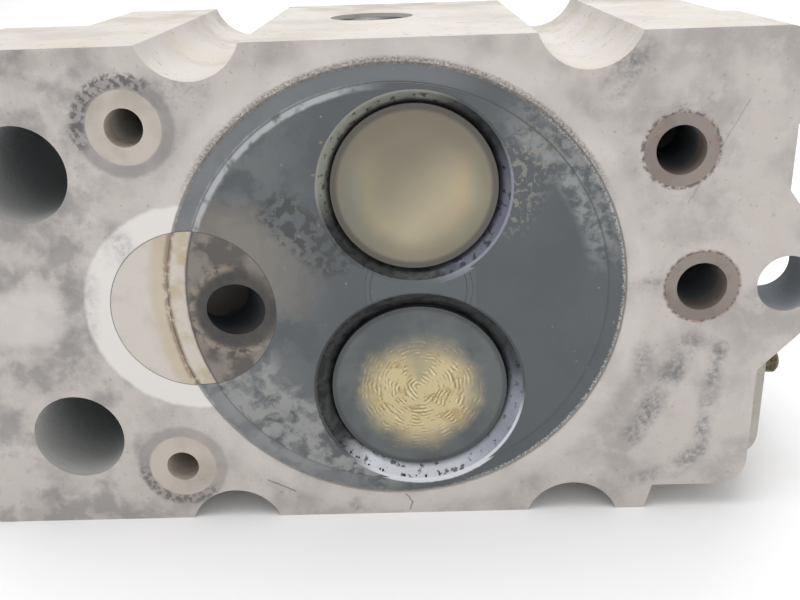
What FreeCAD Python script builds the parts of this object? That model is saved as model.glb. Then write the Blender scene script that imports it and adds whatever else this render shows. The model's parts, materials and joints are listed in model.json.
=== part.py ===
import FreeCAD, Part
import math
import os
import Sketcher
from FreeCAD import Placement, Rotation, Vector

# Cylinder head of a light water-cooled diesel with one head per cylinder.
# Millimetres. X runs along the head, from the pushrod end to the port end, Y runs from the
# deck face into the head, towards the rockers, and Z is up, across the head, which stands on
# one long side. The origin is the centre of the combustion circle on the deck face.

SIZES = {
    # casting: outer shape
    "left_reach": 98.0,
    "top_reach": 51.3,
    "foot_reach": 52.4,
    "tower_left": 70.0,
    "tower_right": 71.3,
    "tower_depth": 84.0,
    "base_depth": 46.0,
    "end_corner": 9.0,
    "deck_right": 80.0,
    "deck_right_low": 75.4,
    "flange_depth": 33.0,
    "outer_corner": 6.0,
    "ledge_reach": 6.2,
    "ledge_depth": 11.0,
    "foot_step_x": 53.7,
    "foot_step": 5.8,
    "deck_right_mid": 77.8,
    "flare_low": 18.9,
    "flare_high": 20.0,
    "corner_block": 33.0,
    "lug_depth": 15.0,
    "lug_radius": 10.6,
    "stud_hole_radius": 6.0,
    "right_stud_x": 79.4,
    "left_stud_x": 89.5,
    "end_stud_z": 0.4,
    "groove_x": 37.6,
    "groove_radius": 10.4,
    "groove_depth": 6.9,
    # deck face
    "fire_ring_radius": 47.0,
    "fire_ring_width": 3.8,
    "fire_ring_depth": 0.3,
    "bridge_relief": 0.15,
    "bridge_left": 6.4,
    "bridge_right": 16.6,
    "bridge_low": 3.0,
    "bridge_high": 5.8,
    # pushrod passages
    "pushrod_radius": 9.8,
    "pushrod_wall": 4.6,
    "ear_web_lap": 6.0,
    "exhaust_pushrod_x": 73.3,
    "exhaust_pushrod_z": 27.4,
    "intake_pushrod_x": 70.3,
    "intake_pushrod_z": 31.0,
    # drillings in the deck
    "oil_x_high": 51.2,
    "oil_z_high": 36.1,
    "oil_radius_high": 3.8,
    "oil_x_low": 48.5,
    "oil_z_low": 38.95,
    "oil_radius_low": 3.5,
    "oil_depth": 26.0,
    "sleeve_radius": 7.3,
    "sleeve_length": 5.0,
    "water_x_high": 55.9,
    "water_z_high": 28.6,
    "water_radius_high": 4.9,
    "water_depth_high": 22.0,
    "water_x_mid": 62.2,
    "water_z_mid": 0.3,
    "water_radius_mid": 5.1,
    "ferrule_wall": 2.3,
    "ferrule_length": 6.0,
    "outlet_radius": 9.0,
    "outlet_floor": 34.0,
    "outlet_shift": 2.0,
    "outlet_lap": 2.0,
    # valves and their seats
    "valve_x": 4.2,
    "exhaust_z": 22.2,
    "intake_z": 21.8,
    "exhaust_head_radius": 16.7,
    "intake_head_radius": 18.7,
    "face_depth": 1.6,
    "head_margin": 1.5,
    "seat_width": 3.0,
    "seat_gap": 0.03,
    "neck_height": 19.0,
    "recess_lip": 3.0,
    "recess_lip_intake": 3.9,
    "lip_chamfer": 0.6,
    "insert_length": 7.5,
    "throat_step": 0.2,
    "stem_radius": 4.0,
    "stem_fit": 0.03,
    "tip_above_tower": 16.5,
    "tip_chamfer": 0.5,
    "groove_from_tip": 6.5,
    "cotter_bead": 2.4,
    "cotter_bite": 0.55,
    "valve_lift": 8.5,
    "guide_radius": 6.5,
    "guide_low": 34.0,
    "guide_above_floor": 12.0,
    "guide_nose": 1.2,
    "guide_nose_length": 3.0,
    "guide_chamfer": 0.8,
    "guide_chamfer_length": 1.0,
    # ports
    "elbow_depth": 24.0,
    "port_y": 54.0,
    "port_z": 28.0,
    "port_face": 85.0,
    "port_straight": 66.0,
    "port_wall": 4.5,
    "exhaust_port_radius": 12.0,
    "intake_port_radius": 12.8,
    "port_flange": 8.0,
    "port_boss_lap": 8.0,
    "stud_pitch_y": 17.5,
    "stud_pitch_z": 6.3,
    "stud_radius": 3.0,
    "stud_root_radius": 4.0,
    "stud_chamfer": 0.8,
    "stud_boss_radius": 7.6,
    "stud_out": 9.3,
    "stud_in": 16.0,
    # spring chamber and springs
    "chamber_depth": 30.0,
    "chamber_left": 50.0,
    "chamber_right": 32.0,
    "chamber_half": 36.5,
    "chamber_corner": 6.0,
    "spring_well": 19.4,
    "washer_radius": 16.6,
    "washer_thick": 1.5,
    "washer_slack": 0.15,
    "spring_length": 36.0,
    "outer_coil_radius": 13.3,
    "outer_wire": 2.0,
    "outer_turns": 6.0,
    "inner_coil_radius": 9.3,
    "inner_wire": 1.35,
    "inner_turns": 8.5,
    "seal_radius": 7.4,
    "seal_foot": 6.0,
    "seal_top": 18.0,
    "seal_step": 1.4,
    "seal_taper": 2.0,
    "retainer_radius": 15.6,
    "retainer_plate": 2.6,
    "retainer_hub": 8.8,
    "retainer_spigot": 7.6,
    "spigot_length": 2.0,
    "tip_over_retainer": 2.2,
    "cone_low": 5.3,
    "cone_high": 6.9,
    "cotter_split": 0.8,
    # rocker gear
    "shaft_x": 34.0,
    "shaft_radius": 9.0,
    "shaft_chamfer": 0.8,
    "bush_wall": 1.5,
    "bush_fit": 0.03,
    "hub_radius": 13.5,
    "hub_length": 22.0,
    "end_float": 0.15,
    "pedestal_mid": 2.0,
    "pedestal_half": 14.0,
    "pedestal_foot": 15.0,
    "pedestal_waist": 11.5,
    "pedestal_step": 8.0,
    "pedestal_cap": 13.0,
    "pedestal_slope": 5.0,
    "pedestal_chamfer": 3.0,
    "bolt_radius": 4.0,
    "bolt_clearance": 0.25,
    "bolt_spacing": 14.0,
    "bolt_head_flats": 12.0,
    "bolt_head_height": 5.5,
    "bolt_depth": 17.0,
    "bolt_washer_radius": 6.7,
    "bolt_washer_thick": 1.4,
    "lash": 0.25,
    "pad_radius": 8.0,
    "arm_thick": 10.5,
    "boss_radius": 7.8,
    "boss_height": 15.0,
    "screw_radius": 4.0,
    "screw_up": 21.0,
    "screw_down": 12.0,
    "slot_half": 0.7,
    "slot_depth": 2.0,
    "slot_reach": 6.0,
    "ball_radius": 5.0,
    "nut_flats": 13.0,
    "nut_height": 5.5,
    "thrust_thick": 1.2,
    "thrust_radius": 13.0,
    "clip_thick": 1.2,
    "clip_radius": 11.6,
    "clip_groove": 0.8,
    "clip_gap_half": 2.5,
    "shaft_tail": 3.0,
    # swirl chamber, injector and glow plug
    "plug_x": 42.0,
    "plug_z": 2.0,
    "plug_radius": 17.0,
    "plug_flange": 7.0,
    "plug_step": 1.5,
    "plug_length": 14.0,
    "swirl_y": 20.0,
    "swirl_radius": 12.0,
    "throat_x": 33.2,
    "throat_radius": 5.6,
    "throat_tilt": 23.0,
    "injector_tilt": 45.0,
    "nozzle_radius": 4.6,
    "nozzle_seat": 22.0,
    "nozzle_nut_radius": 7.2,
    "injector_face": 46.0,
    "injector_boss": 13.5,
    "injector_boss_start": 8.0,
    "injector_spotface": 30.0,
    "injector_hex_flats": 17.0,
    "injector_hex_height": 9.0,
    "injector_hex_rise": 13.0,
    "leak_pipe_radius": 2.2,
    "leak_pipe_length": 13.0,
    "leak_pipe_rise": 26.0,
    "nozzle_nut_sunk": 4.0,
    "nozzle_nut_chamfer": 0.8,
    "nozzle_tip_back": 2.5,
    "holder_shoulder": 12.0,
    "injector_slack": 0.15,
    "seal_thick": 1.5,
    "holder_radius": 8.6,
    "holder_neck": 6.2,
    "holder_end": 92.0,
    "clamp_seat": 52.0,
    "clamp_thick": 6.0,
    "clamp_stud_pitch": 12.0,
    "clamp_stud_radius": 2.5,
    "clamp_stud_in": 14.0,
    "clamp_wall": 2.4,
    "clamp_clearance": 0.5,
    "clamp_middle_wall": 4.5,
    "clamp_stud_end": 68.0,
    "clamp_nut_flats": 8.0,
    "clamp_nut_height": 4.0,
    "glow_turn": 17.8,
    "glow_tip": 6.0,
    "glow_rod": 2.4,
    "glow_rod_slack": 0.5,
    "glow_thread": 5.0,
    "glow_seat": 22.0,
    "glow_hex_seat": 50.0,
    "glow_hex_flats": 12.0,
    "glow_hex_height": 7.0,
    "glow_spotface": 8.5,
    "glow_end": 72.0,
    "glow_pin": 2.0,
    "glow_nut_flats": 7.0,
    "glow_nut_height": 3.0,
    "glow_nut_rise": 4.0,
    # core plugs
    "core_x": 4.5,
    "core_y": 46.0,
    "core_radius": 9.5,
    "core_depth": 7.0,
    "core_sunk": 0.8,
    "core_sheet": 1.4,
    "core_height": 5.2,
}

doc = FreeCAD.newDocument("cylinder_head")
sheet = doc.addObject("Spreadsheet::Sheet", "Sizes")


class Term:
    """A size as a number together with the formula on the sheet that gives it."""

    def __init__(self, number, text):
        self.number = float(number)
        self.text = text

    def __add__(self, other):
        other = term(other)
        return Term(self.number + other.number, "(%s + %s)" % (self.text, other.text))

    def __sub__(self, other):
        other = term(other)
        return Term(self.number - other.number, "(%s - %s)" % (self.text, other.text))

    def __mul__(self, other):
        other = term(other)
        return Term(self.number * other.number, "(%s * %s)" % (self.text, other.text))

    def __truediv__(self, other):
        other = term(other)
        return Term(self.number / other.number, "(%s / %s)" % (self.text, other.text))

    def __radd__(self, other):
        return term(other) + self

    def __rsub__(self, other):
        return term(other) - self

    def __rmul__(self, other):
        return term(other) * self

    def __neg__(self):
        return Term(-self.number, "(-%s)" % self.text)


def term(value):
    return value if isinstance(value, Term) else Term(value, repr(float(value)))


class Names:
    """The sheet's sizes as attributes, so that s.valve_x is a Term."""


s = Names()
for row, (alias, number) in enumerate(SIZES.items(), start=1):
    sheet.set("A%d" % row, alias)
    sheet.set("B%d" % row, str(number))
    sheet.setAlias("B%d" % row, alias)
    setattr(s, alias, Term(number, "Sizes." + alias))
doc.recompute()

ALONG_X = Rotation(Vector(0, 1, 0), 90)
ALONG_Y = Rotation(Vector(1, 0, 0), -90)
ALONG_Z = Rotation()
FACING_Y = Rotation(Vector(1, 0, 0), 90)
AWAY = 3.0

# ---------------------------------------------------------------- building helpers


def bind(thing, prop, value):
    thing.setExpression(prop, term(value).text)


def put(thing, place, turn=ALONG_Z):
    """Set an object's turn, and tie the three coordinates of its place to the sheet."""
    thing.Placement = Placement(Vector(*[term(value).number for value in place]), turn)
    for axis, value in zip("xyz", place):
        bind(thing, "Placement.Base." + axis, value)


def block(name, low, high):
    box = doc.addObject("Part::Box", name)
    for prop, start, end in zip(("Length", "Width", "Height"), low, high):
        bind(box, prop, term(end) - start)
    put(box, low)
    return box


def rod(name, radius, length, place, turn=ALONG_Y):
    cylinder = doc.addObject("Part::Cylinder", name)
    bind(cylinder, "Radius", radius)
    bind(cylinder, "Height", length)
    put(cylinder, place, turn)
    return cylinder


def ball(name, radius, place):
    sphere = doc.addObject("Part::Sphere", name)
    bind(sphere, "Radius", radius)
    put(sphere, place)
    return sphere


def hexagon(name, flats, height, place, turn=ALONG_Y):
    prism = doc.addObject("Part::Prism", name)
    prism.Polygon = 6
    bind(prism, "Circumradius", flats / math.sqrt(3.0))
    bind(prism, "Height", height)
    put(prism, place, turn)
    return prism


def fuse(name, pieces):
    joined = doc.addObject("Part::MultiFuse", name)
    joined.Shapes = pieces
    joined.Refine = True
    return joined


def cut(name, base, tool, refine=True):
    left = doc.addObject("Part::Cut", name)
    left.Base = base
    left.Tool = tool
    left.Refine = refine
    return left


def group(name, pieces):
    together = doc.addObject("Part::Compound", name)
    together.Links = pieces
    return together


def draw_outline(sketch, corners):
    """A closed outline of straight lines, with every corner tied to the sheet."""
    points = [Vector(term(across).number, term(up).number, 0) for across, up in corners]
    count = len(points)
    for index in range(count):
        line = Part.LineSegment(points[index], points[(index + 1) % count])
        sketch.addGeometry(line, False)
    for index in range(count):
        sketch.addConstraint(Sketcher.Constraint("Coincident", index, 2, (index + 1) % count, 1))
    for index, corner in enumerate(corners):
        for kind, axis, value in (("DistanceX", -2, corner[0]), ("DistanceY", -1, corner[1])):
            value = term(value)
            if abs(value.number) < 1e-9:
                sketch.addConstraint(Sketcher.Constraint("PointOnObject", index, 1, axis))
                continue
            place = sketch.addConstraint(Sketcher.Constraint(kind, -1, 1, index, 1, value.number))
            bind(sketch, "Constraints[%d]" % place, value)


def plane_of(body, role):
    for feature in body.Origin.OriginFeatures:
        if feature.Role == role:
            return feature
    raise RuntimeError("no plane " + role)


def turned(label, outline, place, turn=ALONG_Y):
    """A piece made on a lathe: outline corners are (radius, height along the axis)."""
    body = doc.addObject("PartDesign::Body", label)
    sketch = body.newObject("Sketcher::SketchObject", label + "_outline")
    sketch.AttachmentSupport = [(plane_of(body, "XZ_Plane"), "")]
    sketch.MapMode = "FlatFace"
    draw_outline(sketch, outline)
    spin = body.newObject("PartDesign::Revolution", label + "_spin")
    spin.Profile = sketch
    spin.ReferenceAxis = (sketch, ["V_Axis"])
    spin.Angle = 360
    body.Tip = spin
    sketch.Visibility = False
    put(body, place, turn)
    return body


def slab(name, corners, start, length, flat="XZ"):
    """A straight-sided plate: corners in XZ, thickness along Y, or in XY along Z."""
    sketch = doc.addObject("Sketcher::SketchObject", name + "_outline")
    draw_outline(sketch, corners)
    plate = doc.addObject("Part::Extrusion", name)
    plate.Base = sketch
    plate.DirMode = "Custom"
    plate.Solid = True
    if flat == "XZ":
        put(sketch, (0, start, 0), FACING_Y)
        plate.Dir = Vector(0, 1, 0)
    else:
        put(sketch, (0, 0, start))
        plate.Dir = Vector(0, 0, 1)
    bind(plate, "LengthFwd", length)
    return plate


def rounded(name, base, radius, chosen):
    """Round the edges of base for which chosen(edge) holds."""
    doc.recompute()
    smooth = doc.addObject("Part::Fillet", name)
    smooth.Base = base
    size = term(radius).number
    edges = [number for number, edge in enumerate(base.Shape.Edges, start=1) if chosen(edge)]
    smooth.Edges = [(number, size, size) for number in edges]
    return smooth


def runs_along_y(edge):
    first, last = edge.Vertexes[0].Point, edge.Vertexes[-1].Point
    return abs(first.x - last.x) < 1e-6 and abs(first.z - last.z) < 1e-6


def duct(name, near, far):
    """A straight round passage between two circles that face X: (radius, x, y, z) each."""
    rings = []
    for number, (radius, along, deep, up) in enumerate((near, far)):
        ring = doc.addObject("Part::Circle", "%s_ring_%d" % (name, number))
        bind(ring, "Radius", radius)
        put(ring, (along, deep, up), ALONG_X)
        rings.append(ring)
    loft = doc.addObject("Part::Loft", name)
    loft.Sections = rings
    loft.Solid = True
    loft.Ruled = True
    return loft


# ---------------------------------------------------------------- the two valve lines

LINES = {
    "exhaust": {
        "side": 1,
        "z": s.exhaust_z,
        "head": s.exhaust_head_radius,
        "lip": s.recess_lip,
        "port": s.exhaust_port_radius,
        "pushrod_x": -s.exhaust_pushrod_x,
        "pushrod_z": s.exhaust_pushrod_z,
        "hub_low": s.pedestal_half - s.pedestal_mid + s.end_float,
    },
    "intake": {
        "side": -1,
        "z": -s.intake_z,
        "head": s.intake_head_radius,
        "lip": s.recess_lip_intake,
        "port": s.intake_port_radius,
        "pushrod_x": -s.intake_pushrod_x,
        "pushrod_z": -s.intake_pushrod_z,
        "hub_low": -(s.pedestal_half + s.pedestal_mid + s.end_float + s.hub_length),
    },
}
for line in LINES.values():
    line["axis"] = (s.valve_x, 0, line["z"])
    line["throat"] = line["head"] - s.seat_width - s.throat_step
    line["insert"] = line["head"] + line["lip"] - s.lip_chamfer
seat_height = s.face_depth + s.head_margin
insert_end = s.lip_chamfer + s.insert_length
chamber_floor = s.tower_depth - s.chamber_depth
stem_tip = s.tower_depth + s.tip_above_tower
guide_high = chamber_floor + s.guide_above_floor
seal_low = chamber_floor + s.seal_foot
seal_high = chamber_floor + s.seal_top
spring_low = chamber_floor + s.washer_thick
spring_high = spring_low + s.spring_length
shaft_y = stem_tip + s.lash + s.pad_radius - s.valve_lift / 2.0
chamber_centre = (-s.plug_x, s.swirl_y, -s.plug_z)
injector_turn = Rotation(Vector(0, 0, 1), SIZES["injector_tilt"]).multiply(ALONG_Y)
glow_direction = Rotation(Vector(0, 1, 0), -SIZES["glow_turn"]).multVec(Vector(-1, 0, 0))
glow_turn = Rotation(Vector(0, 0, 1), glow_direction)


def port_stud_places():
    """Centres of the four manifold studs on the port faces."""
    places = []
    for line in LINES.values():
        for end in (-1, 1):
            up = line["side"] * (s.port_z - end * s.stud_pitch_z)
            places.append((s.port_face, s.port_y + end * s.stud_pitch_y, up))
    return places


# ---------------------------------------------------------------- casting


def casting_solids():
    left, right = -s.left_reach, s.tower_right
    foot, top = -s.foot_reach, s.top_reach
    tower = slab("tower_plate", [
        (-s.tower_left, foot), (s.foot_step_x, foot), (s.foot_step_x + 1.5, foot + s.foot_step),
        (right, foot + s.foot_step), (right, top), (-s.tower_left, top)], 0, s.tower_depth)
    end = block("left_end", (left, 0, foot), (-s.tower_left, s.base_depth, top))
    end = rounded("left_end_round", end, s.end_corner,
                  lambda edge: runs_along_y(edge) and edge.Vertexes[0].X < -SIZES["tower_left"] - 1)
    low_top = -s.flare_low
    inner = right - 2.0 * s.outer_corner
    low = block("right_low_end", (inner, 0, foot + s.foot_step), (s.deck_right_low, s.flange_depth, low_top))
    low = rounded("right_low_round", low, s.outer_corner, low_outer_corner)
    ledge = block("right_ledge", (inner, s.ledge_depth, foot + s.foot_step),
                  (s.deck_right_low + s.ledge_reach, s.flange_depth, low_top))
    ledge = rounded("right_ledge_round", ledge, s.outer_corner, low_outer_corner)
    high = block("right_high_end", (inner, 0, s.corner_block), (s.deck_right, s.flange_depth, top))
    high = rounded("right_high_round", high, s.outer_corner, high_outer_corner)
    middle = block("right_middle_end", (inner, 0, s.flare_high),
                   (s.deck_right_mid, s.flange_depth, s.corner_block))
    solids = [tower, end, low, ledge, high, middle]
    slant = s.lug_radius * math.sqrt(0.5)
    solids.append(slab("stud_lug_web", [
        (inner, -s.flare_low), (s.deck_right_low, -s.flare_low),
        (s.right_stud_x + slant, s.end_stud_z - slant), (s.right_stud_x + slant, s.end_stud_z + slant),
        (s.deck_right_mid, s.flare_high), (inner, s.flare_high)], 0, s.lug_depth))
    solids.append(rod("stud_lug", s.lug_radius, s.lug_depth, (s.right_stud_x, 0, s.end_stud_z)))
    for kind, line in LINES.items():
        solids += pushrod_ear(kind, line) + port_boss(kind, line)
    boss = [(0, s.injector_boss_start), (s.injector_boss, s.injector_boss_start),
            (s.injector_boss, s.injector_face), (0, s.injector_face)]
    solids.append(turned("injector_boss", boss, chamber_centre, injector_turn))
    solids.append(injector_stud_boss())
    return solids


def low_outer_corner(edge):
    ends = edge.Vertexes[0].Point
    foot = SIZES["foot_step"] - SIZES["foot_reach"]
    return runs_along_y(edge) and ends.x > SIZES["deck_right_low"] - 1 and ends.z < foot + 1


def high_outer_corner(edge):
    ends = edge.Vertexes[0].Point
    return runs_along_y(edge) and ends.x > SIZES["deck_right"] - 1 and ends.z > SIZES["top_reach"] - 1


def pushrod_ear(kind, line):
    """Wall round a pushrod passage, joined to the tower."""
    across = s.pushrod_radius + s.pushrod_wall
    wall = rod(kind + "_ear", across, s.tower_depth, (line["pushrod_x"], 0, line["pushrod_z"]))
    web = block(kind + "_ear_web", (line["pushrod_x"], 0, line["pushrod_z"] - across),
                (-s.tower_left + s.ear_web_lap, s.tower_depth, line["pushrod_z"] + across))
    return [wall, web]


def port_boss(kind, line):
    """Outer wall of a port outside the tower, with its two-stud flange."""
    up = line["side"] * s.port_z
    across = line["port"] + s.port_wall
    inner = s.tower_right - s.port_boss_lap
    pieces = [rod(kind + "_port_wall", across, s.port_face - inner, (inner, s.port_y, up), ALONG_X)]
    start = s.port_face - s.port_flange
    for number, place in enumerate(port_stud_places()):
        if line["side"] * place[2].number < 0:
            continue
        name = "%s_stud_boss_%d" % (kind, number)
        pieces.append(rod(name, s.stud_boss_radius, s.port_face - inner, (inner,) + place[1:], ALONG_X))
    slope = s.stud_boss_radius
    corners = []
    for end, side in ((-1, -1), (-1, 1), (1, 1), (1, -1)):
        corners.append((s.port_y + end * s.stud_pitch_y,
                        line["side"] * (s.port_z - end * s.stud_pitch_z) + side * slope))
    sketch = doc.addObject("Sketcher::SketchObject", kind + "_flange_outline")
    draw_outline(sketch, corners)
    turn = Rotation(Vector(0, 1, 0), Vector(0, 0, 1), Vector(1, 0, 0), "ZXY")
    put(sketch, (start, 0, 0), turn)
    plate = doc.addObject("Part::Extrusion", kind + "_flange")
    plate.Base = sketch
    plate.DirMode = "Custom"
    plate.Dir = Vector(1, 0, 0)
    plate.Solid = True
    bind(plate, "LengthFwd", s.port_flange)
    return pieces + [plate]


def injector_stud_boss():
    """Bar across the injector boss that carries the two clamp studs."""
    wide = s.clamp_stud_pitch + s.clamp_stud_radius + s.clamp_wall
    bar = doc.addObject("Part::Box", "injector_stud_bar")
    bind(bar, "Length", s.injector_boss * 2.0)
    bind(bar, "Width", wide * 2.0)
    bind(bar, "Height", s.injector_face - s.clamp_stud_in)
    centre = Vector(*[term(value).number for value in chamber_centre])
    corner = Vector(-SIZES["injector_boss"], -wide.number, SIZES["clamp_stud_in"])
    bar.Placement = Placement(centre + injector_turn.multVec(corner), injector_turn)
    return bar


def casting_voids():
    voids = []
    for kind, line in LINES.items():
        voids += valve_passage(kind, line) + [spring_well(kind, line)]
        voids.append(rod(kind + "_pushrod_hole", s.pushrod_radius, s.tower_depth + 2 * AWAY,
                         (line["pushrod_x"], -AWAY, line["pushrod_z"])))
    chamber = block("rocker_chamber", (-s.chamber_left, chamber_floor, -s.chamber_half - 1.0),
                    (s.chamber_right, s.tower_depth + AWAY, s.chamber_half))
    voids.append(rounded("rocker_chamber_round", chamber, s.chamber_corner, runs_along_y))
    voids += stud_grooves() + deck_drillings() + deck_marks()
    voids += plug_pocket() + core_plug_holes() + stud_holes()
    return voids


def valve_passage(kind, line):
    """Chamfer, insert pocket, throat and guide bore in one turned outline, and the port."""
    recess = line["head"] + line["lip"]
    passage = turned(kind + "_passage", [
        (0, -AWAY), (recess, -AWAY), (recess, 0), (line["insert"], s.lip_chamfer),
        (line["insert"], insert_end), (line["throat"], insert_end),
        (line["throat"], s.elbow_depth), (s.guide_radius, s.elbow_depth),
        (s.guide_radius, chamber_floor + 1.0), (0, chamber_floor + 1.0)], line["axis"])
    elbow = ball(kind + "_elbow", line["throat"], (s.valve_x, s.elbow_depth, line["z"]))
    far = (line["port"], s.port_straight, s.port_y, line["side"] * s.port_z)
    near = (line["throat"] - 0.8, s.valve_x, s.elbow_depth, line["z"])
    mouth = rod(kind + "_port_mouth", line["port"], s.port_face + AWAY - s.port_straight, far[1:], ALONG_X)
    return [passage, elbow, duct(kind + "_port", near, far), mouth]


def spring_well(kind, line):
    return rod(kind + "_spring_well", s.spring_well, s.tower_depth + AWAY - chamber_floor,
               (s.valve_x, chamber_floor, line["z"]))


def stud_grooves():
    grooves = []
    out = s.groove_radius - s.groove_depth
    for side in (-1, 1):
        for name, up in (("high", s.top_reach + out), ("low", -s.foot_reach - out)):
            grooves.append(rod("groove_%s_%s" % (name, "left" if side < 0 else "right"),
                               s.groove_radius, s.tower_depth + 2 * AWAY,
                               (side * s.groove_x, -AWAY, up)))
    return grooves


def oil_drillings():
    return (("high", -s.oil_x_high, s.oil_z_high, s.oil_radius_high),
            ("low", -s.oil_x_low, -s.oil_z_low, s.oil_radius_low))


def water_drillings():
    return (("high", s.water_x_high, s.water_z_high, s.water_radius_high, s.water_depth_high),
            ("mid", s.water_x_mid, s.water_z_mid, s.water_radius_mid, s.outlet_floor + s.outlet_lap))


def deck_drillings():
    """Stepped drillings: the wide mouth takes a sleeve or a ferrule."""
    holes = []
    for name, along, up, radius in oil_drillings():
        outline = [(0, -AWAY), (s.sleeve_radius, -AWAY), (s.sleeve_radius, s.sleeve_length),
                   (radius, s.sleeve_length), (radius, s.oil_depth), (0, s.oil_depth + radius / 2.0)]
        holes.append(turned("oil_hole_" + name, outline, (along, 0, up)))
    for name, along, up, radius, deep in water_drillings():
        wide = radius + s.ferrule_wall
        outline = [(0, -AWAY), (wide, -AWAY), (wide, s.ferrule_length),
                   (radius, s.ferrule_length), (radius, deep), (0, deep + radius / 2.0)]
        holes.append(turned("water_hole_" + name, outline, (along, 0, up)))
    holes.append(rod("water_outlet", s.outlet_radius, s.tower_depth + AWAY - s.outlet_floor,
                     (s.water_x_mid - s.outlet_shift, s.outlet_floor, 0)))
    return holes


def fire_ring(name):
    """Shallow ring that the gasket's fire ring presses on, as a tool."""
    inner = s.fire_ring_radius - s.fire_ring_width
    return turned(name, [(inner, -AWAY), (s.fire_ring_radius, -AWAY),
                         (s.fire_ring_radius, s.fire_ring_depth), (inner, s.fire_ring_depth)], (0, 0, 0))


def deck_marks():
    bridge = block("bridge_relief_cut", (-s.bridge_left, -AWAY, -s.bridge_low),
                   (s.bridge_right, s.bridge_relief, s.bridge_high))
    return [fire_ring("fire_ring_cut"), bridge]


def plug_outline(length):
    narrow = s.plug_radius - s.plug_step
    return [(0, -length), (s.plug_radius, -length), (s.plug_radius, s.plug_flange),
            (narrow, s.plug_flange), (narrow, s.plug_length), (0, s.plug_length)]


def plug_pocket():
    """Pocket of the hot plug, the swirl chamber, and the injector and glow plug bores."""
    pocket = turned("plug_pocket", plug_outline(term(AWAY)), (-s.plug_x, 0, -s.plug_z))
    swirl = ball("swirl_space", s.swirl_radius, chamber_centre)
    nozzle = s.nozzle_radius + s.injector_slack
    nut = s.nozzle_nut_radius + s.injector_slack
    wide = s.clamp_stud_pitch + s.clamp_stud_radius + s.clamp_wall + s.clamp_clearance
    bore = turned("injector_bore", [
        (0, 0), (nozzle, 0), (nozzle, s.nozzle_seat), (nut, s.nozzle_seat),
        (nut, s.injector_face), (wide, s.injector_face), (wide, s.injector_face + s.injector_spotface),
        (0, s.injector_face + s.injector_spotface)], chamber_centre, injector_turn)
    rod_bore = s.glow_rod + s.glow_rod_slack
    glow = turned("glow_bore", [
        (0, 0), (rod_bore, 0), (rod_bore, s.glow_seat), (s.glow_thread, s.glow_seat),
        (s.glow_thread, s.glow_hex_seat), (s.glow_spotface, s.glow_hex_seat),
        (s.glow_spotface, s.glow_end), (0, s.glow_end)], chamber_centre, glow_turn)
    return [pocket, swirl, bore, glow]


def core_plug_holes():
    high = rod("core_hole_high", s.core_radius, s.core_depth + AWAY,
               (-s.core_x, s.core_y, s.top_reach - s.core_depth), ALONG_Z)
    low = rod("core_hole_low", s.core_radius, s.core_depth + AWAY,
              (-s.core_x, s.core_y, -s.foot_reach - AWAY), ALONG_Z)
    return [high, low]


def tilted_rods(name, radius, start, end):
    """Two parallel rods along the injector, one each side of it."""
    rods = []
    centre = Vector(*[term(value).number for value in chamber_centre])
    for side in (-1, 1):
        one = doc.addObject("Part::Cylinder", "%s_%s" % (name, "low" if side < 0 else "high"))
        bind(one, "Radius", radius)
        bind(one, "Height", term(end) - start)
        offset = injector_turn.multVec(Vector(0, 0, term(start).number))
        across = Vector(0, 0, side * SIZES["clamp_stud_pitch"])
        one.Placement = Placement(centre + offset + across, injector_turn)
        rods.append(one)
    return rods


def stud_holes():
    holes = [rod("right_stud_hole", s.stud_hole_radius, s.lug_depth + 2 * AWAY,
                 (s.right_stud_x, -AWAY, s.end_stud_z)),
             rod("left_stud_hole", s.stud_hole_radius, s.base_depth + 2 * AWAY,
                 (-s.left_stud_x, -AWAY, s.end_stud_z))]
    for number, place in enumerate(port_stud_places()):
        start = (s.port_face - s.stud_in,) + place[1:]
        holes.append(rod("port_stud_hole_%d" % number, s.stud_root_radius, s.stud_in + AWAY, start, ALONG_X))
    for number, up in enumerate(bolt_places()):
        holes.append(rod("pedestal_bolt_hole_%d" % number, s.bolt_radius, s.bolt_depth + 1.0,
                         (-s.shaft_x, chamber_floor - s.bolt_depth, up)))
    holes += tilted_rods("clamp_stud_hole", s.clamp_stud_radius, s.injector_face - s.clamp_stud_in,
                         s.injector_face + 1.0)
    return holes


def bolt_places():
    return (-s.pedestal_mid - s.bolt_spacing / 2.0, -s.pedestal_mid + s.bolt_spacing / 2.0)


def head_casting():
    solid = fuse("casting_solid", casting_solids())
    void = fuse("casting_void", casting_voids())
    return cut("head_casting", solid, void, refine=False)


# ---------------------------------------------------------------- pieces set in the casting


def hot_plug():
    blank = turned("hot_plug_blank", plug_outline(term(0)), (-s.plug_x, 0, -s.plug_z))
    throat = doc.addObject("Part::Cylinder", "hot_plug_throat")
    bind(throat, "Radius", s.throat_radius)
    throat.Height = 40
    turn = Rotation(Vector(0, 0, 1), SIZES["throat_tilt"]).multiply(ALONG_Y)
    mouth = Vector(-SIZES["throat_x"], 0, -SIZES["plug_z"])
    throat.Placement = Placement(mouth - turn.multVec(Vector(0, 0, 12)), turn)
    hollow = ball("hot_plug_cup", s.swirl_radius, chamber_centre)
    return cut("hot_plug", blank, fuse("hot_plug_void", [throat, hollow, fire_ring("plug_ring_cut")]))


def seat_insert(kind, line):
    """Ring with a 45 degree seat; its outer face widens towards the deck."""
    edge = line["head"] + 0.6
    seat = seat_height + s.seat_gap
    return turned(kind + "_seat_insert", [
        (line["insert"], s.lip_chamfer), (line["insert"], insert_end), (line["throat"], insert_end),
        (line["throat"], seat + line["head"] - line["throat"]), (edge, seat - 0.6)], line["axis"])


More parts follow.
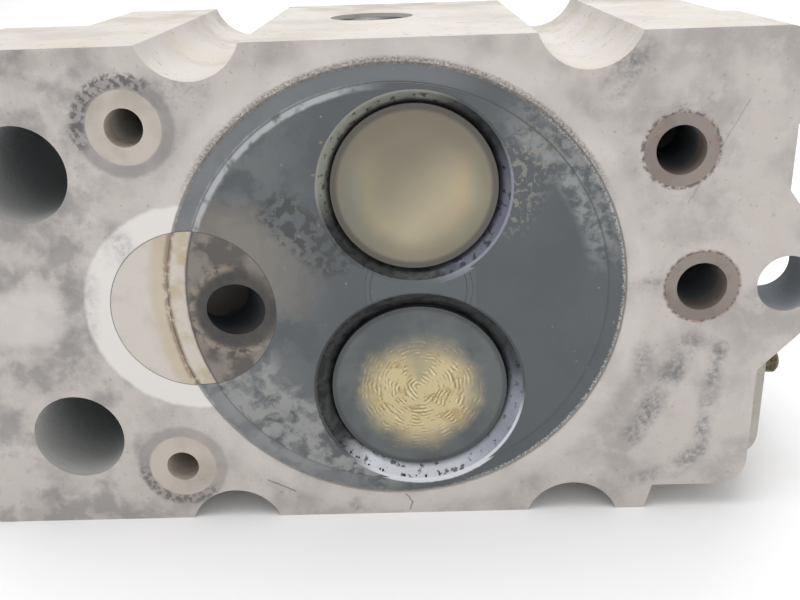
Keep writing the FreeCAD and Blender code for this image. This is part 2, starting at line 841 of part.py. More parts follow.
def valve(kind, line):
    head = line["head"]
    inner = head - s.seat_width
    tip = stem_tip
    groove = tip - s.groove_from_tip
    waist = s.stem_radius - s.cotter_bite
    return turned(kind + "_valve", [
        (0, s.face_depth), (head, s.face_depth), (head, seat_height),
        (inner, seat_height + s.seat_width), (inner * 0.62, seat_height + s.seat_width + 2.0),
        (inner * 0.42, seat_height + s.seat_width + 5.0), (s.stem_radius, s.neck_height),
        (s.stem_radius, groove - s.cotter_bead / 2.0), (waist, groove - s.cotter_bead / 2.0),
        (waist, groove + s.cotter_bead / 2.0), (s.stem_radius, groove + s.cotter_bead / 2.0),
        (s.stem_radius, tip - s.tip_chamfer), (s.stem_radius - s.tip_chamfer, tip), (0, tip)],
        line["axis"])


def valve_guide(kind, line):
    bore = s.stem_radius + s.stem_fit
    return turned(kind + "_valve_guide", [
        (bore, s.guide_low), (s.guide_radius - s.guide_nose, s.guide_low),
        (s.guide_radius, s.guide_low + s.guide_nose_length),
        (s.guide_radius, guide_high - s.guide_chamfer_length), (s.guide_radius - s.guide_chamfer, guide_high),
        (bore, guide_high)], line["axis"])


def stem_seal(kind, line):
    bore = s.stem_radius + s.stem_fit
    return turned(kind + "_stem_seal", [
        (s.guide_radius, seal_low), (s.seal_radius, seal_low), (s.seal_radius, guide_high + 1.0),
        (s.seal_radius - s.seal_step, guide_high + 2.2), (s.seal_radius - s.seal_step, seal_high - 1.0),
        (s.seal_radius - s.seal_taper, seal_high), (bore, seal_high), (bore, guide_high),
        (s.guide_radius - s.guide_chamfer, guide_high),
        (s.guide_radius, guide_high - s.guide_chamfer_length)], line["axis"])


def spring_washer(kind, line):
    return turned(kind + "_spring_washer", [
        (s.guide_radius + s.washer_slack, chamber_floor), (s.washer_radius, chamber_floor),
        (s.washer_radius, spring_low), (s.guide_radius + s.washer_slack, spring_low)], line["axis"])


def spring(name, line, coil, wire, turns):
    """A wire helix whose two ends are ground flat against the washer and the retainer."""
    length = spring_high - spring_low
    over = wire * 0.55
    helix = doc.addObject("Part::Helix", name + "_spine")
    bind(helix, "Radius", coil)
    bind(helix, "Height", length - 2.0 * wire + 2.0 * over)
    bind(helix, "Pitch", (length - 2.0 * wire + 2.0 * over) / turns)
    put(helix, (s.valve_x, spring_low + wire - over, line["z"]), ALONG_Y)
    ring = doc.addObject("Part::Circle", name + "_wire")
    bind(ring, "Radius", wire)
    put(ring, (s.valve_x + coil, spring_low + wire - over, line["z"]), ALONG_Z)
    sweep = doc.addObject("Part::Sweep", name + "_coil")
    sweep.Sections = [ring]
    sweep.Spine = (helix, ["Edge1"])
    sweep.Solid = True
    sweep.Frenet = True
    keep = rod(name + "_ground", coil + wire * 2.0, length, (s.valve_x, spring_low, line["z"]))
    ground = doc.addObject("Part::Common", name)
    ground.Base = sweep
    ground.Tool = keep
    return ground


def spring_retainer(kind, line):
    top = stem_tip - s.tip_over_retainer
    return turned(kind + "_spring_retainer", [
        (s.cone_low, spring_high - s.spigot_length), (s.retainer_spigot, spring_high - s.spigot_length),
        (s.retainer_spigot, spring_high), (s.retainer_radius, spring_high),
        (s.retainer_radius, spring_high + s.retainer_plate),
        (s.retainer_hub + 1.5, spring_high + s.retainer_plate), (s.retainer_hub, top - 0.5),
        (s.retainer_hub - 0.5, top), (s.cone_high, top)], line["axis"])


def valve_cotters(kind, line):
    """Two half cones that lock the retainer to the groove in the stem."""
    low = spring_high - s.spigot_length
    top = stem_tip - s.tip_over_retainer
    groove = stem_tip - s.groove_from_tip
    waist = s.stem_radius - s.cotter_bite
    cone = turned(kind + "_cotter_cone", [
        (s.stem_radius, low), (s.cone_low, low), (s.cone_high, top), (s.stem_radius, top),
        (s.stem_radius, groove + s.cotter_bead / 2.0), (waist, groove + s.cotter_bead / 2.0),
        (waist, groove - s.cotter_bead / 2.0), (s.stem_radius, groove - s.cotter_bead / 2.0)],
        line["axis"])
    reach = s.cone_high + 1.0
    saw = block(kind + "_cotter_saw", (s.valve_x - s.cotter_split / 2.0, low - 1.0, line["z"] - reach),
                (s.valve_x + s.cotter_split / 2.0, top + 1.0, line["z"] + reach))
    return cut(kind + "_valve_cotters", cone, saw)


def ring_sleeve(name, radius, wide, length, along, up):
    return turned(name, [(radius, 0), (wide, 0), (wide, length), (radius, length)], (along, 0, up))


def sleeves_and_ferrules():
    sleeves = [ring_sleeve("oil_sleeve_" + name, radius, s.sleeve_radius, s.sleeve_length, along, up)
               for name, along, up, radius in oil_drillings()]
    group("oil_drilling_sleeves", sleeves)
    ferrules = [ring_sleeve("ferrule_" + name, radius, radius + s.ferrule_wall, s.ferrule_length, along, up)
                for name, along, up, radius, deep in water_drillings()]
    group("coolant_ferrules", ferrules)


def core_plug(name, base, turn):
    """Pressed cup with its flat floor inwards and its rim outwards."""
    return turned(name, [
        (0, 0), (s.core_radius - 1.0, 0), (s.core_radius, 1.0), (s.core_radius, s.core_height),
        (s.core_radius - s.core_sheet, s.core_height), (s.core_radius - s.core_sheet, s.core_sheet + 1.0),
        (s.core_radius - s.core_sheet - 1.0, s.core_sheet), (0, s.core_sheet)], base, turn)


def manifold_studs():
    studs = []
    for number, place in enumerate(port_stud_places()):
        length = s.stud_in + s.stud_out
        studs.append(turned("manifold_stud_%d" % number, [
            (0, 0), (s.stud_root_radius, 0), (s.stud_root_radius, s.stud_in), (s.stud_radius, s.stud_in),
            (s.stud_radius, length - s.stud_chamfer), (s.stud_radius - s.stud_chamfer, length),
            (0, length)], (s.port_face - s.stud_in,) + place[1:], ALONG_X))
    return group("manifold_studs", studs)


# ---------------------------------------------------------------- rocker gear


def shaft_ends():
    """Lowest and highest z of the rocker shaft."""
    tail = s.hub_length + 2 * s.end_float + s.thrust_thick + s.end_float + s.clip_thick + s.shaft_tail
    return (-s.pedestal_mid - s.pedestal_half - tail, -s.pedestal_mid + s.pedestal_half + tail)


def clip_places():
    """Lower z of each circlip."""
    out = s.hub_length + 2 * s.end_float + s.thrust_thick + s.end_float
    low = -s.pedestal_mid - s.pedestal_half - out - s.clip_thick
    high = -s.pedestal_mid + s.pedestal_half + out
    return (low, high)


def rocker_shaft():
    low, high = shaft_ends()
    neck = s.shaft_radius - s.clip_groove
    first, second = clip_places()
    blank = turned("rocker_shaft_blank", [
        (0, low), (s.shaft_radius - s.shaft_chamfer, low), (s.shaft_radius, low + s.shaft_chamfer),
        (s.shaft_radius, first),
        (neck, first), (neck, first + s.clip_thick), (s.shaft_radius, first + s.clip_thick),
        (s.shaft_radius, second), (neck, second), (neck, second + s.clip_thick),
        (s.shaft_radius, second + s.clip_thick), (s.shaft_radius, high - s.shaft_chamfer),
        (s.shaft_radius - s.shaft_chamfer, high), (0, high)], (-s.shaft_x, shaft_y, 0), ALONG_Z)
    holes = fuse("rocker_shaft_holes", bolt_clearance_holes("shaft"))
    return cut("rocker_shaft", blank, holes)


def bolt_clearance_holes(name):
    radius = s.bolt_radius + s.bolt_clearance
    length = s.pedestal_cap + shaft_y - chamber_floor + 2 * AWAY
    return [rod("%s_bolt_hole_%d" % (name, number), radius, length,
                (-s.shaft_x, chamber_floor - AWAY, up)) for number, up in enumerate(bolt_places())]


def pedestal_top():
    return shaft_y + s.pedestal_cap


def rocker_pedestal():
    low = -s.pedestal_mid - s.pedestal_half
    floor = chamber_floor
    mid = -s.shaft_x
    step = floor + s.pedestal_step
    waist = step + s.pedestal_slope
    top = pedestal_top()
    right = [(s.pedestal_foot, floor), (s.pedestal_foot, step), (s.pedestal_waist, waist),
             (s.pedestal_waist, top - s.pedestal_chamfer), (s.pedestal_waist - s.pedestal_chamfer, top)]
    corners = [(mid - across, up) for across, up in right[:1]]
    corners += [(mid + across, up) for across, up in right]
    corners += [(mid - across, up) for across, up in reversed(right[1:])]
    column = slab("pedestal_column", corners, low, 2 * s.pedestal_half, "XY")
    bore = rod("pedestal_bore", s.shaft_radius, 2 * s.pedestal_half + 2 * AWAY,
               (mid, shaft_y, low - AWAY), ALONG_Z)
    return cut("rocker_pedestal", column, fuse("pedestal_void", [bore] + bolt_clearance_holes("pedestal")))


def pedestal_bolts():
    bolts = []
    washers = []
    seat = pedestal_top()
    for number, up in enumerate(bolt_places()):
        low = chamber_floor - s.bolt_depth
        shank = rod("pedestal_shank_%d" % number, s.bolt_radius, seat + s.bolt_washer_thick - low,
                    (-s.shaft_x, low, up))
        head = hexagon("pedestal_head_%d" % number, s.bolt_head_flats, s.bolt_head_height,
                       (-s.shaft_x, seat + s.bolt_washer_thick, up), ALONG_Y)
        bolts.append(fuse("pedestal_bolt_%d" % number, [shank, head]))
        washers.append(turned("pedestal_washer_%d" % number, [
            (s.bolt_radius + s.bolt_clearance, 0), (s.bolt_washer_radius, 0),
            (s.bolt_washer_radius, s.bolt_washer_thick),
            (s.bolt_radius + s.bolt_clearance, s.bolt_washer_thick)], (-s.shaft_x, seat, up)))
    group("pedestal_bolts", bolts)
    group("pedestal_washers", washers)


def arm_plate(name, corners, middle):
    placed = [(-s.shaft_x + across, shaft_y + up) for across, up in corners]
    return slab(name, placed, middle - s.arm_thick / 2.0, s.arm_thick, "XY")


def rocker(kind, line):
    """Hub, valve arm with a round pad, and pushrod arm with a threaded boss."""
    low = line["hub_low"]
    hub = rod(kind + "_hub", s.hub_radius, s.hub_length, (-s.shaft_x, shaft_y, low), ALONG_Z)
    reach = s.shaft_x + s.valve_x
    rise = s.valve_lift / 2.0
    valve_arm = arm_plate(kind + "_valve_arm", [
        (0, s.hub_radius - 0.8), (reach * 0.55, s.hub_radius - 3.0), (reach, rise + s.pad_radius - 0.3),
        (reach, rise), (reach * 0.62, -2.0), (reach * 0.34, -7.5), (0, 0.8 - s.hub_radius)], line["z"])
    pad = rod(kind + "_pad", s.pad_radius, s.arm_thick,
              (s.valve_x, shaft_y + rise, line["z"] - s.arm_thick / 2.0), ALONG_Z)
    back = line["pushrod_x"] + s.shaft_x
    low_boss = -s.boss_height / 2.0
    pushrod_arm = arm_plate(kind + "_pushrod_arm", [
        (0, s.hub_radius - 0.8), (0, 0.8 - s.hub_radius), (back * 0.6, -7.0), (back, -5.5),
        (back, 6.0), (back * 0.6, 8.5)], line["pushrod_z"])
    boss = rod(kind + "_boss", s.boss_radius, s.boss_height,
               (line["pushrod_x"], shaft_y + low_boss, line["pushrod_z"]))
    solid = fuse(kind + "_rocker_solid", [hub, valve_arm, pad, pushrod_arm, boss])
    bore = rod(kind + "_hub_bore", s.shaft_radius + s.bush_wall, s.hub_length + 2 * AWAY,
               (-s.shaft_x, shaft_y, low - AWAY), ALONG_Z)
    thread = rod(kind + "_screw_hole", s.screw_radius, s.boss_height + 2 * AWAY,
                 (line["pushrod_x"], shaft_y + low_boss - AWAY, line["pushrod_z"]))
    return cut(kind + "_rocker", solid, fuse(kind + "_rocker_void", [bore, thread]))


def rocker_bush(kind, line):
    inner = s.shaft_radius + s.bush_fit
    outer = s.shaft_radius + s.bush_wall
    return turned(kind + "_rocker_bush", [
        (inner, 0), (outer, 0), (outer, s.hub_length), (inner, s.hub_length)],
        (-s.shaft_x, shaft_y, line["hub_low"]), ALONG_Z)


def adjuster(kind, line):
    place = (line["pushrod_x"], shaft_y, line["pushrod_z"])
    bottom = -s.screw_down
    shank = turned(kind + "_screw_shank", [
        (0, bottom), (s.screw_radius - 0.8, bottom), (s.screw_radius, bottom + 1.5),
        (s.screw_radius, s.screw_up - 1.0), (s.screw_radius - 1.0, s.screw_up), (0, s.screw_up)], place)
    end = ball(kind + "_screw_ball", s.ball_radius, (line["pushrod_x"], shaft_y + bottom, line["pushrod_z"]))
    top = shaft_y + s.screw_up
    slot = block(kind + "_screw_slot",
                 (line["pushrod_x"] - s.slot_half, top - s.slot_depth, line["pushrod_z"] - s.slot_reach),
                 (line["pushrod_x"] + s.slot_half, top + 1.0, line["pushrod_z"] + s.slot_reach))
    cut(kind + "_adjuster_screw", fuse(kind + "_screw_solid", [shank, end]), slot)
    seat = shaft_y + s.boss_height / 2.0
    nut = hexagon(kind + "_nut_blank", s.nut_flats, s.nut_height,
                  (line["pushrod_x"], seat, line["pushrod_z"]))
    hole = rod(kind + "_nut_thread", s.screw_radius, s.nut_height + 2 * AWAY,
               (line["pushrod_x"], seat - AWAY, line["pushrod_z"]))
    cut(kind + "_adjuster_nut", nut, hole)


def shaft_rings():
    """Thrust washers beside the rockers, and the circlips that hold them."""
    rings = {"thrust": [], "clip": []}
    for number, (side, clip) in enumerate(zip((-1, 1), clip_places())):
        gap = s.end_float + s.thrust_thick
        low = clip - gap if side > 0 else clip + s.clip_thick + s.end_float
        rings["thrust"].append(turned("thrust_washer_%d" % number, [
            (s.shaft_radius + 0.1, 0), (s.thrust_radius, 0), (s.thrust_radius, s.thrust_thick),
            (s.shaft_radius + 0.1, s.thrust_thick)], (-s.shaft_x, shaft_y, low), ALONG_Z))
        ring = turned("circlip_ring_%d" % number, [
            (s.shaft_radius - s.clip_groove, 0), (s.clip_radius, 0), (s.clip_radius, s.clip_thick),
            (s.shaft_radius - s.clip_groove, s.clip_thick)], (-s.shaft_x, shaft_y, clip), ALONG_Z)
        gap_cut = block("circlip_gap_%d" % number, (-s.shaft_x - s.clip_gap_half, shaft_y, clip - 1.0),
                        (-s.shaft_x + s.clip_gap_half, shaft_y + s.clip_radius + 2.0,
                         clip + s.clip_thick + 1.0))
        rings["clip"].append(cut("circlip_%d" % number, ring, gap_cut))
    group("rocker_thrust_washers", rings["thrust"])
    group("shaft_circlips", rings["clip"])


# ---------------------------------------------------------------- injector and glow plug


def injector():
    seat = s.nozzle_seat
    nut_low = seat + s.seal_thick
    turned("injector_seal", [
        (s.nozzle_radius + 0.1, seat), (s.nozzle_nut_radius - 0.2, seat),
        (s.nozzle_nut_radius - 0.2, nut_low), (s.nozzle_radius + 0.1, nut_low)],
        chamber_centre, injector_turn)
    nut_high = s.injector_face - s.nozzle_nut_sunk
    turned("injector_nozzle_nut", [
        (s.nozzle_radius, nut_low), (s.nozzle_nut_radius - s.nozzle_nut_chamfer, nut_low),
        (s.nozzle_nut_radius, nut_low + s.nozzle_nut_chamfer), (s.nozzle_nut_radius, nut_high),
        (s.nozzle_radius, nut_high)], chamber_centre, injector_turn)
    tip = s.swirl_radius - s.nozzle_tip_back
    body = turned("injector_holder", [
        (0, tip), (s.nozzle_radius - 2.6, tip), (s.nozzle_radius - 1.2, tip + 2.5),
        (s.nozzle_radius, tip + 3.5),
        (s.nozzle_radius, nut_high), (s.nozzle_nut_radius, nut_high),
        (s.nozzle_nut_radius, s.injector_face + 1.0), (s.holder_radius, s.injector_face + 2.0),
        (s.holder_radius, s.clamp_seat), (s.holder_neck, s.clamp_seat),
        (s.holder_neck, s.holder_end - s.holder_shoulder),
        (s.holder_neck - 1.2, s.holder_end - s.holder_shoulder + 2.0),
        (s.holder_neck - 1.2, s.holder_end - 1.0), (s.holder_neck - 2.2, s.holder_end), (0, s.holder_end)],
        chamber_centre, injector_turn)
    flats = along_injector(hexagon("injector_hex", s.injector_hex_flats, s.injector_hex_height,
                                   (0, 0, 0)), s.clamp_seat + s.injector_hex_rise)
    pipe = along_injector(rod("leak_off_pipe", s.leak_pipe_radius, s.leak_pipe_length, (0, 0, 0)),
                          s.clamp_seat + s.leak_pipe_rise)
    pipe.Placement = pipe.Placement.multiply(Placement(Vector(0, 0, 0), Rotation(Vector(0, 1, 0), 90)))
    fuse("injector_body", [body, flats, pipe])


def along_injector(piece, distance):
    """Move a piece to a distance from the swirl chamber, on the injector's axis."""
    centre = Vector(*[term(value).number for value in chamber_centre])
    for axis in "xyz":
        piece.setExpression("Placement.Base." + axis, None)
    offset = injector_turn.multVec(Vector(0, 0, term(distance).number))
    piece.Placement = Placement(centre + offset, injector_turn)
    return piece


def injector_clamp():
    wide = s.clamp_stud_radius + s.clamp_wall
    lobes = tilted_rods("clamp_lobe", wide, s.clamp_seat, s.clamp_seat + s.clamp_thick)
    middle = along_injector(rod("clamp_middle", s.holder_neck + s.clamp_middle_wall, s.clamp_thick,
                                (0, 0, 0)), s.clamp_seat)
    bar = doc.addObject("Part::Box", "clamp_bar")
    bind(bar, "Length", 2 * wide)
    bind(bar, "Width", 2 * s.clamp_stud_pitch)
    bind(bar, "Height", s.clamp_thick)
    centre = Vector(*[term(value).number for value in chamber_centre])
    corner = Vector(-term(wide).number, -SIZES["clamp_stud_pitch"], SIZES["clamp_seat"])
    bar.Placement = Placement(centre + injector_turn.multVec(corner), injector_turn)
    solid = fuse("clamp_solid", lobes + [middle, bar])
    bore = along_injector(rod("clamp_bore", s.holder_neck + s.injector_slack, 40.0, (0, 0, 0)),
                          s.clamp_seat - 10.0)
    holes = tilted_rods("clamp_hole", s.clamp_stud_radius + s.injector_slack, s.clamp_seat - 10.0,
                        s.clamp_seat + 20.0)
    cut("injector_clamp", solid, fuse("clamp_void", [bore] + holes))
    group("injector_studs", tilted_rods("clamp_stud", s.clamp_stud_radius,
                                        s.injector_face - s.clamp_stud_in, s.clamp_stud_end))
    nuts = []
    threads = tilted_rods("clamp_nut_thread", s.clamp_stud_radius, s.clamp_seat, s.clamp_stud_end + 5.0)
    for number, thread in enumerate(threads):
        side = (-1, 1)[number]
        blank = along_injector(hexagon("clamp_nut_blank_%d" % number, s.clamp_nut_flats,
                                       s.clamp_nut_height, (0, 0, 0)), s.clamp_seat + s.clamp_thick)
        blank.Placement.Base = blank.Placement.Base + Vector(0, 0, side * SIZES["clamp_stud_pitch"])
        nuts.append(cut("clamp_nut_%d" % number, blank, thread))
    group("injector_nuts", nuts)


def glow_plug():
    hex_top = s.glow_hex_seat + s.glow_hex_height
    body = turned("glow_plug_body", [
        (0, s.glow_tip), (s.glow_rod - 0.8, s.glow_tip), (s.glow_rod, s.glow_tip + 1.2),
        (s.glow_rod, s.glow_seat), (s.glow_thread - 0.8, s.glow_seat + 1.0),
        (s.glow_thread, s.glow_seat + 2.0), (s.glow_thread, s.glow_hex_seat),
        (s.glow_thread, hex_top), (s.glow_thread - 1.6, hex_top + 1.5), (s.glow_pin, hex_top + 1.5),
        (s.glow_pin, s.glow_end), (0, s.glow_end)], chamber_centre, glow_turn)
    flats = along_glow(hexagon("glow_plug_flats", s.glow_hex_flats, s.glow_hex_height, (0, 0, 0)),
                       s.glow_hex_seat)
    fuse("glow_plug", [body, flats])
    seat = hex_top + s.glow_nut_rise
    nut = along_glow(hexagon("glow_nut_blank", s.glow_nut_flats, s.glow_nut_height, (0, 0, 0)), seat)
    hole = along_glow(rod("glow_nut_thread", s.glow_pin, s.glow_nut_height + 2 * AWAY, (0, 0, 0)), seat - AWAY)
    cut("glow_plug_terminal_nut", nut, hole)


def along_glow(piece, distance):
    centre = Vector(*[term(value).number for value in chamber_centre])
    for axis in "xyz":
        piece.setExpression("Placement.Base." + axis, None)
    offset = glow_turn.multVec(Vector(0, 0, term(distance).number))
    piece.Placement = Placement(centre + offset, glow_turn)
    return piece


# ---------------------------------------------------------------- assembly


def build():
    head_casting()
    hot_plug()
    sleeves_and_ferrules()
    core_plug("core_plug_upper", (-s.core_x, s.core_y, s.top_reach - s.core_sunk - s.core_height), ALONG_Z)
    core_plug("core_plug_lower", (-s.core_x, s.core_y, -s.foot_reach + s.core_sunk + s.core_height),
              Rotation(Vector(1, 0, 0), 180))
    manifold_studs()
    for kind, line in LINES.items():
        seat_insert(kind, line)
        valve(kind, line)
        valve_guide(kind, line)
        stem_seal(kind, line)
        spring_washer(kind, line)
        spring(kind + "_outer_spring", line, s.outer_coil_radius, s.outer_wire, s.outer_turns)
        spring(kind + "_inner_spring", line, s.inner_coil_radius, s.inner_wire, s.inner_turns)
        spring_retainer(kind, line)
        valve_cotters(kind, line)
        rocker(kind, line)
        rocker_bush(kind, line)
        adjuster(kind, line)
    rocker_shaft()
    rocker_pedestal()
    pedestal_bolts()
    shaft_rings()
    injector()
    injector_clamp()
    glow_plug()


NODES = [
    "head_casting", "hot_plug", "oil_drilling_sleeves", "coolant_ferrules", "core_plug_upper",
    "core_plug_lower", "manifold_studs", "rocker_shaft", "rocker_pedestal", "pedestal_bolts",
    "pedestal_washers", "rocker_thrust_washers", "shaft_circlips", "injector_body",
    "injector_nozzle_nut", "injector_seal", "injector_clamp", "injector_studs", "injector_nuts",
    "glow_plug", "glow_plug_terminal_nut",
]
PAIRED = [
    "seat_insert", "valve", "valve_guide", "stem_seal", "spring_washer", "outer_spring",
    "inner_spring", "spring_retainer", "valve_cotters", "rocker", "rocker_bush",
    "adjuster_screw", "adjuster_nut",
]


def check_and_export():
    doc.recompute()
    for thing in doc.Objects:
        if "Invalid" in thing.State or "Error" in thing.State:
            raise RuntimeError("%s did not build: %s" % (thing.Name, thing.State))
    os.makedirs("parts", exist_ok=True)
    for name in NODES + ["%s_%s" % (kind, piece) for kind in LINES for piece in PAIRED]:
        node = doc.getObject(name)
        if node is None or node.Shape.isNull() or not node.Shape.isValid():
            raise RuntimeError("%s has no valid shape" % name)
        node.Label = name
        node.Shape.exportStep("parts/%s.step" % name)


build()
check_and_export()
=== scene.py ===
"""Cylinder head: finishes, springs, threads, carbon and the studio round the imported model."""
import json
import math

import bpy
from bpy.props import FloatProperty, FloatVectorProperty, IntProperty, PointerProperty
from bpy.types import Operator, Panel, PropertyGroup
from mathutils import Matrix, Vector

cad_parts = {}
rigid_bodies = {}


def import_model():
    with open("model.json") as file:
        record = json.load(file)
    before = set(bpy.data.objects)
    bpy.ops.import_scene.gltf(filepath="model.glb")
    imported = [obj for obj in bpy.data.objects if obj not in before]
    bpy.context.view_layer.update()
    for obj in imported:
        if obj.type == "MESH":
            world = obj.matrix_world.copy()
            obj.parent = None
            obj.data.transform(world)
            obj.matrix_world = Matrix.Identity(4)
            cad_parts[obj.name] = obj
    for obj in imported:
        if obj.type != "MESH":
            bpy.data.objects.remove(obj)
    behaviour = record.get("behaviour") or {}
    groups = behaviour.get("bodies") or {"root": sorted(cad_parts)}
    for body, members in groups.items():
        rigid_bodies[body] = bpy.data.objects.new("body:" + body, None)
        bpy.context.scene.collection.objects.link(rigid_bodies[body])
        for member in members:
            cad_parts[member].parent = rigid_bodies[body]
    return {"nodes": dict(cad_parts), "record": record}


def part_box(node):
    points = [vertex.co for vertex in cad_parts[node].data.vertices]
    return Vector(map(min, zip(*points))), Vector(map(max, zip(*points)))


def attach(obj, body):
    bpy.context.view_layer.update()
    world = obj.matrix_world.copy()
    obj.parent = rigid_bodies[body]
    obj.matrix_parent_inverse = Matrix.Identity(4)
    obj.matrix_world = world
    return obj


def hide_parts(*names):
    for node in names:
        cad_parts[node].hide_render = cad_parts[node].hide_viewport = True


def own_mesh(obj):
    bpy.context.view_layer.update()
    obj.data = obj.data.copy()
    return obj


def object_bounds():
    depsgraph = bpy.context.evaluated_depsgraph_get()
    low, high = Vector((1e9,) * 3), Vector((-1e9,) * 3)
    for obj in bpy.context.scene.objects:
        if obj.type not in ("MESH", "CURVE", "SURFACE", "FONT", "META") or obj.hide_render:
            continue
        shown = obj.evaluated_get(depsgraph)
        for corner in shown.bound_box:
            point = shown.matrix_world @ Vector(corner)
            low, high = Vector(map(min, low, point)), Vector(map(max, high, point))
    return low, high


bl_info = {
    "name": "Cylinder head finisher",
    "version": (1, 0, 0),
    "blender": (4, 5, 0),
    "location": "View3D > Sidebar > Cylinder head",
    "description": "Finishes the packed cylinder head and sets up its studio",
    "category": "Object",
}

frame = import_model()
CAD_BOUNDS = [list(corner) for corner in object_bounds()]
NODES = frame["nodes"]
MM = 0.001
KINDS = ("exhaust", "intake")
FERRULE_RADII = (7.2, 7.4)
SLEEVE_RADII = (7.3, 7.3)


def middle(node):
    """Centre of a CAD node's box, in metres."""
    low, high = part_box(node)
    return (Vector(low) + Vector(high)) / 2


def mm_at(node):
    """Centre of a CAD node's box across the deck, in millimetres, as X and Z."""
    place = middle(node) / MM
    return place.x, place.z


def reach(node):
    """Half the width of a round CAD node along X, in millimetres."""
    low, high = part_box(node)
    return (high[0] - low[0]) / 2 / MM


def mount_at(name):
    """Place of a mount across the deck, in millimetres, as X and Z."""
    pos = next(mount["pos_m"] for mount in frame["record"]["mounts"] if mount["name"] == name)
    return pos[0] / MM, pos[2] / MM


def corner_pair(node, first, second, rises=True):
    """Centres of two rings that fill opposite corners of a node's box, from their radii."""
    low, high = (Vector(corner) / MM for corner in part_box(node))
    if rises:
        return (high.x - second, low.z + second), (low.x + first, high.z - first)
    return (low.x + first, high.z - first), (high.x - second, low.z + second)


def paint(red, green, blue):
    """A colour from the usual 0 to 255 values to the linear ones that shaders use."""
    linear = []
    for value in (red, green, blue):
        value = value / 255
        linear.append(value / 12.92 if value <= 0.04045 else ((value + 0.055) / 1.055) ** 2.4)
    return tuple(linear)


# ---------------------------------------------------------------- sizes and colours

def colour_setting(name, note, default):
    return FloatVectorProperty(name=name, description=note, default=default, size=3,
                               subtype="COLOR", min=0.0, max=1.0)


def length_setting(name, note, default):
    return FloatProperty(name=name, description=note, default=default, subtype="DISTANCE",
                         unit="LENGTH", min=0.0)


class CastingSettings(PropertyGroup):
    deck: colour_setting("Deck", "Clean part of the deck face", paint(190, 183, 178))
    deck_stain: colour_setting("Deck stain", "Darker mottling of the deck face", paint(164, 158, 154))
    carbon: colour_setting("Carbon", "Carbon inside the combustion circle", paint(80, 85, 88))
    carbon_grey: colour_setting("Grey carbon", "Paler film over the carbon", paint(106, 109, 110))
    skin: colour_setting("Cast skin", "As-cast side walls", paint(191, 186, 180))
    circle: length_setting("Combustion circle", "Radius of the combustion circle", 0.047)


class ValveSettings(PropertyGroup):
    exhaust: colour_setting("Exhaust face", "Main colour of the exhaust valve", paint(134, 127, 109))
    intake: colour_setting("Intake face", "Main colour of the intake valve", paint(98, 102, 103))
    gold: colour_setting("Gold", "Bare scratched patch of the intake valve", paint(204, 188, 144))


class SpringSettings(PropertyGroup):
    wire: length_setting("Outer wire", "Radius of the outer springs' wire", 0.0019)
    inner_wire: length_setting("Inner wire", "Radius of the inner springs' wire", 0.0014)
    turns: FloatProperty(name="Outer turns", description="Turns of the outer springs", default=6.0,
                         min=2.0)
    inner_turns: FloatProperty(name="Inner turns", description="Turns of the inner springs",
                               default=7.5, min=2.0)


class ThreadSettings(PropertyGroup):
    pitch: length_setting("Stud pitch", "Pitch of the manifold stud threads", 0.001)
    crest: length_setting("Crest", "Radius of a thread's ridge", 0.00034)
    root: length_setting("Root radius", "Radius of the part of a stud inside the casting", 0.004)


class CarbonSettings(PropertyGroup):
    count: IntProperty(name="Crumbs", description="Carbon crumbs round one valve", default=420, min=1)
    size: length_setting("Crumb size", "Radius of the largest carbon crumb", 0.0004)
    seed: IntProperty(name="Seed", description="Fixed seed of the scatter", default=7)


class StageSettings(PropertyGroup):
    floor: colour_setting("Floor", "Colour of the floor and backdrop", paint(250, 250, 251))
    key: FloatProperty(name="Key light", description="Power of the overhead light", default=5.2,
                       unit="POWER", min=0.0)
    lens: FloatProperty(name="Lens", description="Focal length in millimetres", default=42.23, min=1.0)


SETTINGS = {"head_casting_finish": CastingSettings, "head_valve_finish": ValveSettings,
            "head_springs": SpringSettings, "head_threads": ThreadSettings,
            "head_carbon": CarbonSettings, "head_stage": StageSettings}


# ---------------------------------------------------------------- node helpers

